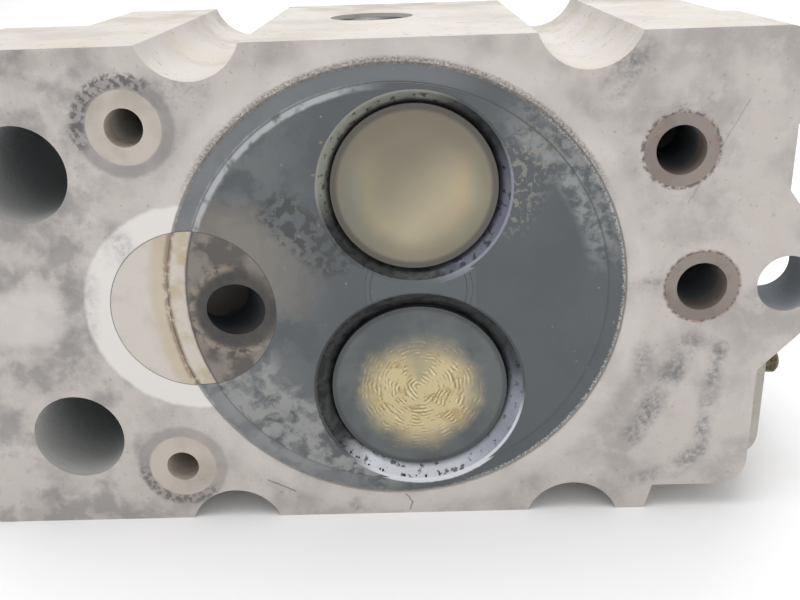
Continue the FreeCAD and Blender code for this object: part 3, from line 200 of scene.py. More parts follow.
class Graph:
    """Adds nodes to one shader tree. Values may be numbers, colours or sockets."""

    def __init__(self, tree):
        self.tree = tree

    def add(self, kind, values=(), **settings):
        node = self.tree.nodes.new(kind)
        for name, value in settings.items():
            setattr(node, name, value)
        for socket, value in dict(values).items():
            self.give(node.inputs[socket], value)
        return node

    def give(self, socket, value):
        if isinstance(value, bpy.types.NodeSocket):
            self.tree.links.new(value, socket)
        elif isinstance(value, (tuple, list)) and socket.type == "RGBA":
            socket.default_value = (*tuple(value)[:3], 1.0)
        else:
            socket.default_value = value

    def math(self, operation, *values):
        return self.add("ShaderNodeMath", enumerate(values), operation=operation).outputs[0]

    def times(self, *masks):
        result = masks[0]
        for mask in masks[1:]:
            result = self.math("MULTIPLY", result, mask)
        return result

    def most(self, *masks):
        result = masks[0]
        for mask in masks[1:]:
            result = self.math("MAXIMUM", result, mask)
        return result

    def rest_of(self, mask):
        return self.math("SUBTRACT", 1.0, mask)

    def span(self, value, low, high, start=0.0, end=1.0):
        """Smooth step from start to end while value goes from low to high."""
        return self.add("ShaderNodeMapRange", {0: value, 1: low, 2: high, 3: start, 4: end},
                        interpolation_type="SMOOTHSTEP").outputs[0]

    def layer(self, colour, mask, tint):
        return self.add("ShaderNodeMix", {0: mask, 6: colour, 7: tint}, data_type="RGBA").outputs[2]

    def tint(self, colour, mask, amount, values):
        """Cover a colour with a tint of 0 to 255 values, by a share of a mask."""
        return self.layer(colour, self.times(mask, amount), paint(*values))

    def number(self, mask, low, high):
        return self.add("ShaderNodeMix", {0: mask, 2: low, 3: high}, data_type="FLOAT").outputs[0]

    def noise(self, place, scale, detail=3.0, rough=0.55, output=0):
        return self.add("ShaderNodeTexNoise", {"Vector": place, "Scale": scale, "Detail": detail,
                                               "Roughness": rough}).outputs[output]

    def patches(self, place, scale, low, high, detail=4.0):
        """Blotches: noise cut to a mask between two of its values."""
        return self.span(self.noise(place, scale, detail), low, high)

    def place(self):
        """Object coordinates in millimetres."""
        coordinates = self.add("ShaderNodeTexCoord").outputs["Object"]
        return self.add("ShaderNodeVectorMath", {0: coordinates, 3: 1 / MM}, operation="SCALE").outputs[0]

    def facing(self):
        """Normal in the object's own axes, split in three."""
        normal = self.add("ShaderNodeTexCoord").outputs["Normal"]
        return self.split(normal)

    def split(self, vector):
        return self.add("ShaderNodeSeparateXYZ", {0: vector}).outputs

    def shaken(self, place, scale, amount):
        """The same coordinates, pushed about by noise so that drawn edges turn ragged."""
        push = self.add("ShaderNodeVectorMath", {0: self.noise(place, scale, 4.0, 0.6, 1),
                                                 1: (0.5, 0.5, 0.5)},
                        operation="SUBTRACT").outputs[0]
        push = self.add("ShaderNodeVectorMath", {0: push, 3: amount}, operation="SCALE").outputs[0]
        return self.add("ShaderNodeVectorMath", {0: place, 1: push}, operation="ADD").outputs[0]

    def group(self, name, values, output=0):
        node = self.tree.nodes.new("ShaderNodeGroup")
        node.node_tree = GROUPS[name]()
        for socket, value in values.items():
            self.give(node.inputs[socket], value)
        return node.outputs[output]

    def ring(self, place, centre, inner, outer, soft=0.4):
        return self.group("ring band", {"Place": place, "Centre X": centre[0], "Centre Z": centre[1],
                                        "Inner": inner, "Outer": outer, "Soft": soft})

    def disc(self, place, centre, radius, soft=0.4):
        return self.ring(place, centre, -100.0, radius, soft)

    def sector(self, place, centre, degrees, half, soft=0.25):
        turn = math.radians(degrees)
        return self.group("sector", {"Place": place, "Centre X": centre[0], "Centre Z": centre[1],
                                     "Along X": math.cos(turn), "Along Z": math.sin(turn),
                                     "Edge": math.cos(math.radians(half)), "Soft": soft})

    def stroke(self, place, start, end, width, soft=1.0):
        return self.group("stroke", {"Place": place, "Start": (start[0], 0.0, start[1]),
                                     "End": (end[0], 0.0, end[1]), "Width": width, "Soft": soft})


def new_group(name, inputs, output="Mask"):
    """An empty shader group with named inputs, and a Graph to fill it."""
    tree = bpy.data.node_groups.new(name, "ShaderNodeTree")
    for label, kind, value in inputs:
        socket = tree.interface.new_socket(label, in_out="INPUT", socket_type="NodeSocket" + kind)
        if value is not None:
            socket.default_value = value
    tree.interface.new_socket(output, in_out="OUTPUT", socket_type="NodeSocketFloat")
    graph = Graph(tree)
    return graph, graph.add("NodeGroupInput").outputs, graph.add("NodeGroupOutput").inputs


def flat_place(graph, given, centre_x, centre_z):
    """X and Z distances from a centre on the deck."""
    parts = graph.split(given)
    return graph.math("SUBTRACT", parts[0], centre_x), graph.math("SUBTRACT", parts[2], centre_z)


def make_ring_band():
    graph, given, result = new_group("ring band", (
        ("Place", "Vector", None), ("Centre X", "Float", 0.0), ("Centre Z", "Float", 0.0),
        ("Inner", "Float", 0.0), ("Outer", "Float", 1.0), ("Soft", "Float", 0.4)))
    across, up = flat_place(graph, given[0], given[1], given[2])
    away = graph.math("SQRT", graph.math("ADD", graph.math("MULTIPLY", across, across),
                                         graph.math("MULTIPLY", up, up)))
    inside = graph.span(away, graph.math("SUBTRACT", given[3], given[5]),
                        graph.math("ADD", given[3], given[5]))
    outside = graph.span(away, graph.math("SUBTRACT", given[4], given[5]),
                         graph.math("ADD", given[4], given[5]))
    graph.give(result[0], graph.times(inside, graph.rest_of(outside)))
    return graph.tree


def make_sector():
    graph, given, result = new_group("sector", (
        ("Place", "Vector", None), ("Centre X", "Float", 0.0), ("Centre Z", "Float", 0.0),
        ("Along X", "Float", 1.0), ("Along Z", "Float", 0.0), ("Edge", "Float", 0.5),
        ("Soft", "Float", 0.25)))
    across, up = flat_place(graph, given[0], given[1], given[2])
    length = graph.math("SQRT", graph.math("ADD", graph.math("MULTIPLY", across, across),
                                           graph.math("MULTIPLY", up, up)))
    along = graph.math("ADD", graph.math("MULTIPLY", across, given[3]),
                       graph.math("MULTIPLY", up, given[4]))
    facing = graph.math("DIVIDE", along, graph.math("MAXIMUM", length, 0.001))
    graph.give(result[0], graph.span(facing, graph.math("SUBTRACT", given[5], given[6]),
                                     graph.math("ADD", given[5], given[6])))
    return graph.tree


def make_stroke():
    graph, given, result = new_group("stroke", (
        ("Place", "Vector", None), ("Start", "Vector", None), ("End", "Vector", None),
        ("Width", "Float", 1.0), ("Soft", "Float", 1.0)))
    flat = graph.add("ShaderNodeVectorMath", {0: given[0], 1: (1.0, 0.0, 1.0)},
                     operation="MULTIPLY").outputs[0]
    line = graph.add("ShaderNodeVectorMath", {0: given[2], 1: given[1]}, operation="SUBTRACT").outputs[0]
    near = graph.add("ShaderNodeVectorMath", {0: flat, 1: given[1]}, operation="SUBTRACT").outputs[0]
    dot = graph.add("ShaderNodeVectorMath", {0: near, 1: line}, operation="DOT_PRODUCT").outputs["Value"]
    size = graph.add("ShaderNodeVectorMath", {0: line, 1: line}, operation="DOT_PRODUCT").outputs["Value"]
    share = graph.math("MINIMUM", graph.math("MAXIMUM", graph.math("DIVIDE", dot, size), 0.0), 1.0)
    foot = graph.add("ShaderNodeVectorMath", {0: line, 3: share}, operation="SCALE").outputs[0]
    away = graph.add("ShaderNodeVectorMath", {0: near, 1: foot}, operation="DISTANCE").outputs["Value"]
    graph.give(result[0], graph.span(away, graph.math("SUBTRACT", given[3], given[4]),
                                     graph.math("ADD", given[3], given[4]), 1.0, 0.0))
    return graph.tree


def make_grain():
    """Fine tooth of a metal surface: sharp grain with broader unevenness under it."""
    graph, given, result = new_group("metal grain", (
        ("Place", "Vector", None), ("Scale", "Float", 1.0), ("Broad", "Float", 0.5)), "Height")
    fine = graph.noise(given[0], given[1], 6.0, 0.65)
    broad = graph.noise(given[0], graph.math("MULTIPLY", given[1], 0.12), 3.0)
    graph.give(result[0], graph.number(given[2], fine, broad))
    return graph.tree


def make_wear():
    """Uneven handling wear: blotches broken by fine specks."""
    graph, given, result = new_group("wear", (
        ("Place", "Vector", None), ("Scale", "Float", 0.2), ("Amount", "Float", 0.5)))
    blotch = graph.noise(given[0], given[1], 5.0, 0.6)
    speck = graph.noise(given[0], graph.math("MULTIPLY", given[1], 9.0), 3.0, 0.6)
    mixed = graph.math("ADD", graph.math("MULTIPLY", blotch, 0.7), graph.math("MULTIPLY", speck, 0.3))
    limit = graph.span(given[2], 0.0, 1.0, 0.72, 0.3)
    graph.give(result[0], graph.span(mixed, limit, graph.math("ADD", limit, 0.12)))
    return graph.tree


MAKERS = {"ring band": make_ring_band, "sector": make_sector, "stroke": make_stroke,
          "metal grain": make_grain, "wear": make_wear}


def group_getter(name):
    def found():
        return bpy.data.node_groups.get(name) or MAKERS[name]()
    return found


GROUPS = {name: group_getter(name) for name in MAKERS}


def new_material(name):
    material = bpy.data.materials.new(name)
    material.use_nodes = True
    graph = Graph(material.node_tree)
    shader = material.node_tree.nodes["Principled BSDF"]
    return material, graph, shader


def set_bump(graph, shader, height, strength, distance):
    bump = graph.add("ShaderNodeBump", {"Height": height, "Strength": strength,
                                        "Distance": distance})
    graph.give(shader.inputs["Normal"], bump.outputs[0])


def dress(nodes, material):
    """Give the CAD nodes one material, and stop if a name isn't in the model."""
    for node in nodes:
        if node not in NODES:
            raise RuntimeError("the model has no node " + node)
        for slot in NODES[node].material_slots:
            slot.material = material


def plain_metal(name, base, stain, rough=0.4, metallic=1.0, wear=0.4, grain=2.0, strength=0.15):
    """A worked metal: two tones, uneven roughness and a fine tooth."""
    material, graph, shader = new_material(name)
    place = graph.place()
    worn = graph.group("wear", {"Place": place, "Scale": 0.18, "Amount": wear})
    tone = graph.noise(place, 0.09, 3.0)
    shade = tuple(value * 0.78 for value in base)
    colour = graph.layer(graph.layer(base, graph.span(tone, 0.4, 0.65), shade), worn, stain)
    graph.give(shader.inputs["Base Color"], colour)
    shader.inputs["Metallic"].default_value = metallic
    graph.give(shader.inputs["Roughness"], graph.number(worn, rough, min(1.0, rough + 0.28)))
    height = graph.group("metal grain", {"Place": place, "Scale": grain, "Broad": 0.35})
    set_bump(graph, shader, height, strength, 0.0003)
    return material


# ---------------------------------------------------------------- casting

def casting_material(wish):
    """Machined deck with its combustion circle, stains and rust, and the as-cast walls."""
    material, graph, shader = new_material("cast_alloy_finish")
    place = graph.place()
    x, y, z = graph.split(place)
    facing = graph.facing()
    deck = graph.times(graph.span(y, 0.4, 2.6, 1.0, 0.0), graph.span(facing[1], -0.3, -0.1, 1.0, 0.0))
    ragged = graph.shaken(place, 0.45, 1.3)
    rough_edge = graph.shaken(place, 1.3, 0.9)
    loose = graph.shaken(place, 0.16, 9.0)
    middle_of_circle = (0.0, 0.0)
    radius = wish.circle / MM
    plug = mm_at("hot_plug")
    water_mid, water_high = corner_pair("coolant_ferrules", *FERRULE_RADII)
    oil_high, oil_low = corner_pair("oil_drilling_sleeves", *SLEEVE_RADII, False)

    # walls
    skin = graph.layer(tuple(wish.skin), graph.patches(place, 0.06, 0.45, 0.7), paint(188, 180, 168))
    skin = graph.layer(skin, graph.patches(place, 0.5, 0.62, 0.72), paint(158, 150, 140))
    dust = graph.patches(graph.shaken(place, 0.05, 14.0), 0.035, 0.44, 0.62, 6.0)
    skin = graph.tint(skin, dust, 0.4, (156, 149, 138))
    oily = graph.times(graph.span(y, 34.0, 84.0), graph.patches(loose, 0.06, 0.4, 0.6, 6.0))
    skin = graph.tint(skin, oily, 0.5, (138, 127, 110))
    flange = graph.times(graph.span(x, 60.0, 84.0), graph.patches(ragged, 0.11, 0.46, 0.62, 6.0))
    skin = graph.tint(skin, flange, 0.45, (126, 118, 108))
    # painted shade: the walls turn grey towards the floor that the head stands on
    low_wall_shade = graph.span(z, -50.5, -46.0, 1.0, 0.0)
    skin = graph.tint(skin, low_wall_shade, 0.5, (150, 148, 146))

    # deck outside the circle
    face = graph.layer(tuple(wish.deck), graph.patches(place, 0.075, 0.42, 0.66, 6.0),
                       tuple(wish.deck_stain))
    face = graph.tint(face, graph.patches(loose, 0.2, 0.5, 0.7, 6.0), 0.4, (202, 197, 192))
    specks = graph.patches(place, 0.9, 0.62, 0.7, 3.0)
    face = graph.tint(face, specks, 0.4, (128, 124, 121))
    left_half = graph.span(x, -48.0, -62.0)
    face = graph.tint(face, graph.times(left_half, graph.patches(ragged, 0.11, 0.46, 0.62, 6.0)), 0.6,
                      (122, 120, 120))
    gasket_edge = graph.ring(ragged, middle_of_circle, radius, radius + 4.5, 1.6)
    face = graph.tint(face, gasket_edge, 0.45, (206, 200, 196))

    # pale patches
    halo = graph.ring(graph.shaken(place, 0.3, 1.2), plug, 15.0, 22.4, 0.5)
    face = graph.tint(face, halo, 0.95, (222, 218, 214))
    pale = graph.stroke(graph.shaken(place, 0.3, 3.0), (-84.0, -3.0), (-74.0, -3.0), 6.0, 1.4)
    face = graph.tint(face, pale, 0.7, (204, 199, 195))

    # dark stains
    broken = graph.span(graph.noise(place, 0.8, 6.0, 0.7), 0.26, 0.68)
    broken = graph.times(broken, graph.span(graph.noise(place, 0.16, 3.0, 0.6), 0.3, 0.6))
    for start, end, width, depth in (
            ((62.0, -11.5), (67.0, -14.0), 1.5, 0.55), ((61.0, -12.0), (57.5, -19.0), 2.1, 0.7),
            ((57.5, -19.0), (50.0, -34.0), 2.3, 0.8), ((67.0, -14.0), (64.5, -38.0), 1.5, 0.8),
            ((64.5, -38.0), (60.0, -42.5), 2.0, 0.85), ((59.0, -42.5), (50.0, -45.5), 1.6, 0.55),
            ((42.0, 41.0), (47.0, 48.0), 2.6, 0.85), ((51.0, -14.0), (51.5, -21.0), 1.9, 0.6),
            ((-10.5, -50.0), (-8.5, -50.3), 1.5, 0.9), ((48.0, 1.2), (53.0, 1.2), 1.0, 0.7),
            ((-57.0, 12.0), (-70.0, 20.0), 4.5, 0.35), ((60.0, 40.0), (54.0, 34.0), 3.6, 0.3),
            ((-36.0, 43.0), (-45.0, 42.0), 3.0, 0.45), ((-65.0, 5.0), (-68.0, -16.0), 4.0, 0.3)):
        mark = graph.stroke(rough_edge, start, end, width, 1.5)
        face = graph.layer(face, graph.times(mark, broken, graph.math("MINIMUM", depth * 1.25, 1.0)),
                           paint(112, 112, 113))
    for start, end in (((0.5, -47.5), (2.0, -49.5)), ((2.0, -49.5), (1.4, -51.5)),
                       ((-24.0, -46.0), (-30.0, -43.0))):
        crack = graph.stroke(graph.shaken(place, 0.8, 0.7), start, end, 0.14, 0.14)
        face = graph.tint(face, crack, 0.8, (96, 90, 86))
    scratch = graph.stroke(graph.shaken(place, 0.8, 0.7), (68.0, 38.0), (58.0, 18.0), 0.14, 0.14)
    face = graph.tint(face, scratch, 0.4, (120, 114, 110))

    # sealing rings and rust round the drillings
    for centre, inner, outer, tint, depth in (
            (water_high, 4.6, 7.4, paint(128, 104, 90), 0.75),
            (water_mid, 4.8, 7.7, paint(130, 98, 84), 0.85),
            (oil_high, 6.4, 9.8, paint(124, 121, 120), 0.6), (oil_low, 6.6, 9.8, paint(134, 129, 126), 0.55),
            (oil_high, 3.6, 7.3, paint(184, 175, 166), 0.75),
            (oil_low, 3.4, 7.3, paint(188, 172, 158), 0.75)):
        mark = graph.ring(ragged, centre, inner, outer, 0.55)
        face = graph.layer(face, graph.times(mark, depth), tint)
    for centre, turn in ((water_high, 230.0), (water_mid, 150.0), (oil_low, 200.0)):
        rust = graph.times(graph.ring(rough_edge, centre, 4.4, 7.0, 0.5),
                           graph.sector(place, centre, turn, 60.0))
        face = graph.tint(face, graph.times(rust, graph.patches(place, 0.7, 0.4, 0.56)), 0.85, (166, 112, 82))
    crust = graph.times(graph.ring(rough_edge, oil_high, 7.6, 10.4, 0.6),
                        graph.sector(place, oil_high, 130.0, 75.0, 0.2),
                        graph.patches(place, 0.75, 0.45, 0.55))
    face = graph.tint(face, crust, 0.8, (78, 76, 76))
    crust = graph.times(graph.ring(rough_edge, oil_low, 7.4, 9.6, 0.6),
                        graph.sector(place, oil_low, 250.0, 70.0, 0.2),
                        graph.patches(place, 0.75, 0.45, 0.55))
    face = graph.tint(face, crust, 0.7, (86, 80, 76))
    for centre in (water_high, water_mid):
        crust = graph.times(graph.ring(rough_edge, centre, 6.3, 7.8, 0.35),
                            graph.patches(place, 0.9, 0.44, 0.54))
        face = graph.tint(face, crust, 0.85, (84, 78, 72))

    # inside the circle
    inside = graph.disc(graph.shaken(place, 1.1, 0.5), middle_of_circle, radius - 0.3, 0.25)
    soot = graph.tint(tuple(wish.carbon), graph.patches(place, 0.05, 0.45, 0.7), 0.5, (70, 75, 79))
    left = graph.span(x, -8.0, -30.0)
    film = graph.times(left, graph.patches(loose, 0.085, 0.4, 0.56, 7.0))
    soot = graph.layer(soot, graph.times(film, 0.8), tuple(wish.carbon_grey))
    brown = graph.times(left, graph.stroke(loose, (-34.0, 14.0), (-20.0, 4.0), 7.0, 3.0))
    soot = graph.tint(soot, brown, 0.55, (134, 126, 116))
    leopard = graph.stroke(graph.shaken(place, 0.3, 5.0), (-22.0, 18.0), (-13.0, 9.0), 4.5, 1.5)
    soot = graph.layer(soot, graph.times(leopard, graph.patches(place, 0.5, 0.46, 0.54)), paint(66, 68, 68))
    lower_left = graph.sector(place, middle_of_circle, 228.0, 42.0, 0.12)
    low_film = graph.times(lower_left, graph.ring(ragged, middle_of_circle, 30.0, 46.5, 3.0),
                           graph.patches(loose, 0.22, 0.38, 0.58, 7.0))
    soot = graph.tint(soot, low_film, 0.8, (152, 152, 150))
    smear = graph.times(graph.ring(ragged, middle_of_circle, 39.5, 46.4, 1.2),
                        graph.sector(place, middle_of_circle, 33.0, 22.0, 0.08),
                        graph.patches(graph.shaken(place, 0.12, 12.0), 0.35, 0.36, 0.62, 6.0))
    soot = graph.tint(soot, smear, 0.75, (148, 150, 150))
    gold_dust = graph.times(graph.stroke(ragged, (22.0, 18.0), (28.0, 30.0), 5.0, 3.0),
                            graph.patches(place, 0.8, 0.5, 0.58))
    soot = graph.tint(soot, gold_dust, 0.7, (138, 134, 126))
    dots = graph.patches(place, 0.55, 0.7, 0.73, 2.0)
    soot = graph.tint(soot, dots, 0.6, (150, 130, 108))

    # band of the fire ring
    band = graph.ring(graph.shaken(place, 0.7, 0.35), middle_of_circle, radius - 3.8, radius - 0.2, 0.25)
    band_left = graph.times(band, graph.sector(place, middle_of_circle, 165.0, 95.0, 0.15))
    soot = graph.tint(soot, band_left, 0.55, (124, 127, 131))
    pale_arc = graph.times(graph.ring(graph.shaken(place, 0.4, 0.8), middle_of_circle, radius - 5.0,
                                      radius - 3.5, 0.35),
                           graph.sector(place, middle_of_circle, 143.0, 45.0, 0.12))
    soot = graph.tint(soot, graph.times(pale_arc, graph.patches(place, 0.3, 0.3, 0.5)), 0.85, (176, 178, 180))
    groove_line = graph.ring(place, middle_of_circle, radius - 3.95, radius - 3.55, 0.12)
    soot = graph.tint(soot, groove_line, 0.5, (70, 72, 75))
    right_rim = graph.times(graph.ring(rough_edge, middle_of_circle, radius - 0.8, radius, 0.25),
                            graph.sector(place, middle_of_circle, -10.0, 62.0, 0.1),
                            graph.span(graph.noise(place, 2.4, 5.0, 0.7), 0.44, 0.56))
    top_crust = graph.times(graph.ring(rough_edge, middle_of_circle, radius - 0.5, radius + 1.0, 0.4),
                            graph.sector(place, middle_of_circle, 88.0, 60.0, 0.12),
                            graph.span(graph.noise(place, 1.9, 6.0, 0.75), 0.36, 0.6))

    # bridge between the valves
    bridge = graph.times(graph.span(x, -6.6, -6.2), graph.span(x, 16.4, 16.8, 1.0, 0.0),
                         graph.span(z, -3.4, -3.0), graph.span(z, 5.8, 6.2, 1.0, 0.0))
    soot = graph.tint(soot, bridge, 0.8, (86, 92, 95))
    faint = graph.most(graph.ring(place, (4.5, 1.2), 9.85, 10.0, 0.07),
                       graph.ring(place, (4.5, 1.2), 11.0, 11.1, 0.06))
    soot = graph.tint(soot, graph.times(faint, bridge), 0.95, (40, 45, 48))

    face = graph.layer(face, inside, soot)
    face = graph.tint(face, right_rim, 0.8, (186, 184, 180))
    face = graph.tint(face, top_crust, 0.8, (98, 88, 78))
    outline = graph.ring(graph.shaken(place, 1.4, 0.4), middle_of_circle, radius - 0.35, radius + 0.1, 0.15)
    face = graph.tint(face, outline, 0.55, (82, 80, 78))

    gap_line = graph.ring(place, mm_at("hot_plug"), reach("hot_plug") - 0.3, reach("hot_plug") + 0.16, 0.12)
    face = graph.tint(face, gap_line, 0.85, (62, 60, 58))

    # chamfers round the valves: painted highlights on their lit sides, and soot on the intake's left side
    for (centre, outer, turn, half, tint, depth) in (
            (mm_at("intake_seat_insert"), 23.0, -72.0, 62.0, paint(220, 221, 228), 0.92),
            (mm_at("intake_seat_insert"), 23.0, 178.0, 55.0, paint(56, 56, 56), 0.85),
            (mm_at("exhaust_seat_insert"), 20.2, 130.0, 60.0, paint(150, 152, 142), 0.85),
            (mm_at("exhaust_seat_insert"), 20.2, -25.0, 45.0, paint(150, 152, 166), 0.8)):
        chamfer_light_and_soot = graph.times(graph.ring(graph.shaken(place, 0.7, 0.35), centre, 10.0, outer, 0.2),
                          graph.sector(place, centre, turn, half, 0.2), graph.span(y, 0.05, 0.2))
        face = graph.layer(face, graph.times(chamfer_light_and_soot, depth), tint)

    # walls of the pushrod passages, of the stud hole and of the coolant holes: their own grey, with painted
    # shade that darkens them deeper in
    inward = graph.span(y, 0.2, 1.2)
    for centre, size, mouth, depth in (
            (mount_at("exhaust_pushrod_passage"), 10.3, paint(184, 184, 182), paint(152, 156, 158)),
            (mount_at("intake_pushrod_passage"), 10.3, paint(184, 184, 182), paint(148, 152, 154)),
            (mount_at("port_end_stud_hole"), 6.4, paint(150, 156, 162), paint(126, 132, 138)),
            (water_mid, 5.6, paint(112, 118, 124), paint(60, 64, 66)),
            (water_high, 5.4, paint(112, 118, 124), paint(60, 64, 66))):
        wall = graph.times(graph.disc(place, centre, size, 0.1), inward)
        # painted shade: each wall goes from its mouth colour to a darker one deeper in
        tint = graph.layer(mouth, graph.span(y, 1.0, 26.0), depth)
        skin = graph.layer(skin, wall, tint)
        deck = graph.times(deck, graph.rest_of(wall))

    colour = graph.layer(skin, deck, face)
    graph.give(shader.inputs["Base Color"], colour)
    carbon = graph.times(inside, deck)
    shader.inputs["Metallic"].default_value = 0.0
    graph.give(shader.inputs["Roughness"], graph.number(carbon, graph.number(deck, 0.72, 0.5), 0.46))
    fine = graph.group("metal grain", {"Place": place, "Scale": 1.6, "Broad": 0.3})
    sand = graph.group("metal grain", {"Place": place, "Scale": 0.9, "Broad": 0.6})
    height = graph.number(deck, graph.math("MULTIPLY", sand, 4.0), graph.math("MULTIPLY", fine, 0.6))
    set_bump(graph, shader, height, 0.35, 0.0004)
    return material


class HEAD_OT_casting(Operator):
    """Finish the casting's deck face and walls"""
    bl_idname = "head.casting"
    bl_label = "Casting finish"

    def execute(self, context):
        dress(["head_casting"], casting_material(context.scene.head_casting_finish))
        return {"FINISHED"}


# ---------------------------------------------------------------- valves and seats

def exhaust_face(graph, place, wish):
    centre = mm_at("exhaust_valve")
    size = reach("exhaust_valve")
    drift = graph.shaken(place, 0.12, 7.0)
    soft = graph.shaken(place, 0.08, 4.0)
    colour = graph.tint(tuple(wish.exhaust), graph.patches(drift, 0.1, 0.4, 0.7, 4.0), 0.4, (128, 120, 104))
    pale = graph.stroke(soft, (centre[0] - 1.0, centre[1] - 9.0), (centre[0] + 8.0, centre[1] - 1.0), 5.0,
                        7.0)
    colour = graph.tint(colour, pale, 0.65, (188, 176, 148))
    middle_soot = graph.stroke(soft, (centre[0] - 4.0, centre[1] + 8.0), (centre[0] + 4.0, centre[1] + 10.0),
                               3.5, 5.0)
    colour = graph.tint(colour, middle_soot, 0.45, (112, 107, 95))
    for side, tints in ((200.0, (paint(170, 164, 122), paint(124, 146, 150))),
                        (-12.0, (paint(186, 156, 112), paint(142, 158, 136)))):
        turn = graph.sector(place, centre, side, 40.0, 0.3)
        colour = graph.layer(colour, graph.times(graph.ring(drift, centre, size * 0.5, size * 0.68, 2.8),
                                                 turn, 0.3), tints[0])
        colour = graph.layer(colour, graph.times(graph.ring(drift, centre, size * 0.7, size * 0.88, 2.4),
                                                 turn, 0.3), tints[1])
    edge = graph.ring(soft, centre, size * 0.72, size + 2.0, 2.4)
    colour = graph.tint(colour, edge, 0.45, (104, 99, 84))
    rim = graph.ring(place, centre, size - 1.3, size + 2.0, 0.5)
    return graph.tint(colour, rim, 0.7, (66, 66, 64))


def intake_face(graph, place, wish):
    centre = mm_at("intake_valve")
    size = reach("intake_valve")
    away = graph.math("SQRT", graph.math("ADD", *[graph.math("POWER", graph.math("SUBTRACT", part, value),
                                                             2.0)
                      for part, value in zip((graph.split(place)[0], graph.split(place)[2]), centre)]))
    colour = graph.layer(tuple(wish.intake), graph.patches(place, 0.12, 0.42, 0.66, 5.0), paint(86, 90, 92))
    streaks = graph.shaken(place, 0.22, 5.0)
    patch = graph.disc(streaks, (centre[0] + 0.4, centre[1] - 1.4), size * 0.6, 3.6)
    wing = graph.stroke(streaks, (centre[0] - 10.0, centre[1] - 0.5), (centre[0] - 7.0, centre[1] - 2.0),
                        2.0, 2.2)
    patch = graph.most(patch, graph.times(wing, 0.8))
    gap = graph.sector(graph.shaken(place, 0.2, 3.0), (centre[0], centre[1] + 1.0), 88.0, 22.0, 0.4)
    patch = graph.times(patch, graph.rest_of(graph.times(gap, 0.65)))
    colour = graph.layer(colour, graph.times(patch, 0.92), tuple(wish.gold))
    colour = graph.tint(colour, graph.times(patch, graph.patches(streaks, 0.25, 0.5, 0.65)), 0.6,
                        (164, 136, 84))
    wobble = graph.math("ADD", away, graph.math("MULTIPLY", graph.noise(place, 0.3, 4.0), 2.2))
    waves = graph.math("SINE", graph.math("MULTIPLY", wobble, 7.4))
    scratches = graph.times(graph.span(waves, 0.35, 0.8),
                            graph.patches(graph.shaken(place, 0.6, 2.0), 0.5, 0.47, 0.53))
    colour = graph.tint(colour, graph.times(scratches, patch), 0.62, (112, 102, 76))
    bright = graph.times(graph.span(waves, -0.3, -0.85), graph.patches(place, 0.5, 0.5, 0.6))
    colour = graph.tint(colour, graph.times(bright, patch), 0.65, (232, 222, 184))
    rim = graph.ring(place, centre, size - 0.9, size + 2.0, 0.4)
    return graph.tint(colour, rim, 0.6, (58, 60, 60)), waves


def valve_material(kind, wish):
    material, graph, shader = new_material(kind + "_valve_finish")
    place = graph.place()
    face = graph.span(graph.split(place)[1], 3.0, 4.5, 1.0, 0.0)
    grain = graph.group("metal grain", {"Place": place, "Scale": 2.4, "Broad": 0.4})
    if kind == "exhaust":
        colour, height = exhaust_face(graph, place, wish), grain
    else:
        colour, waves = intake_face(graph, place, wish)
        height = graph.math("ADD", grain, graph.math("MULTIPLY", waves, 0.12))
    stem = graph.layer(paint(150, 148, 144), graph.patches(place, 0.2, 0.45, 0.65), paint(118, 112, 100))
    graph.give(shader.inputs["Base Color"], graph.layer(stem, face, colour))
    graph.give(shader.inputs["Metallic"], graph.number(face, 0.9, 0.35))
    graph.give(shader.inputs["Roughness"], graph.number(face, 0.28, 0.42))
    set_bump(graph, shader, height, 0.25, 0.0002)
    return material


def seat_material(kind):
    material, graph, shader = new_material(kind + "_seat_finish")
    place = graph.place()
    centre = mm_at(kind + "_seat_insert")
    dark = graph.layer(paint(58, 59, 60), graph.patches(place, 0.5, 0.44, 0.6), paint(40, 41, 42))
    # painted highlights: paler sectors of each seat face on the side where the light falls
    bright = {"exhaust": ((130.0, 60.0, paint(158, 160, 150)), (-25.0, 40.0, paint(128, 130, 146))),
              "intake": ((-68.0, 66.0, paint(216, 218, 226)), (-20.0, 30.0, paint(120, 124, 140)))}[kind]
    shallow = graph.span(graph.split(place)[1], 3.2, 1.8)
    for turn, half, tint in bright:
        lit = graph.times(graph.sector(place, centre, turn, half, 0.25), shallow,
                          graph.rest_of(graph.times(graph.patches(place, 0.7, 0.56, 0.64), 0.8)))
        dark = graph.layer(dark, graph.times(lit, 0.85), tint)
    graph.give(shader.inputs["Base Color"], dark)
    shader.inputs["Metallic"].default_value = 0.55
    graph.give(shader.inputs["Roughness"], graph.number(graph.patches(place, 0.4, 0.4, 0.6), 0.34, 0.6))
    set_bump(graph, shader, graph.group("metal grain", {"Place": place, "Scale": 2.0, "Broad": 0.4}), 0.3,
             0.0003)
    return material


class HEAD_OT_valves(Operator):
    """Finish the valves and their seat inserts"""
    bl_idname = "head.valves"
    bl_label = "Valves and seats"

    def execute(self, context):
        for kind in KINDS:
            dress([kind + "_valve"], valve_material(kind, context.scene.head_valve_finish))
            dress([kind + "_seat_insert"], seat_material(kind))
        return {"FINISHED"}


# ---------------------------------------------------------------- hot plug and drillings

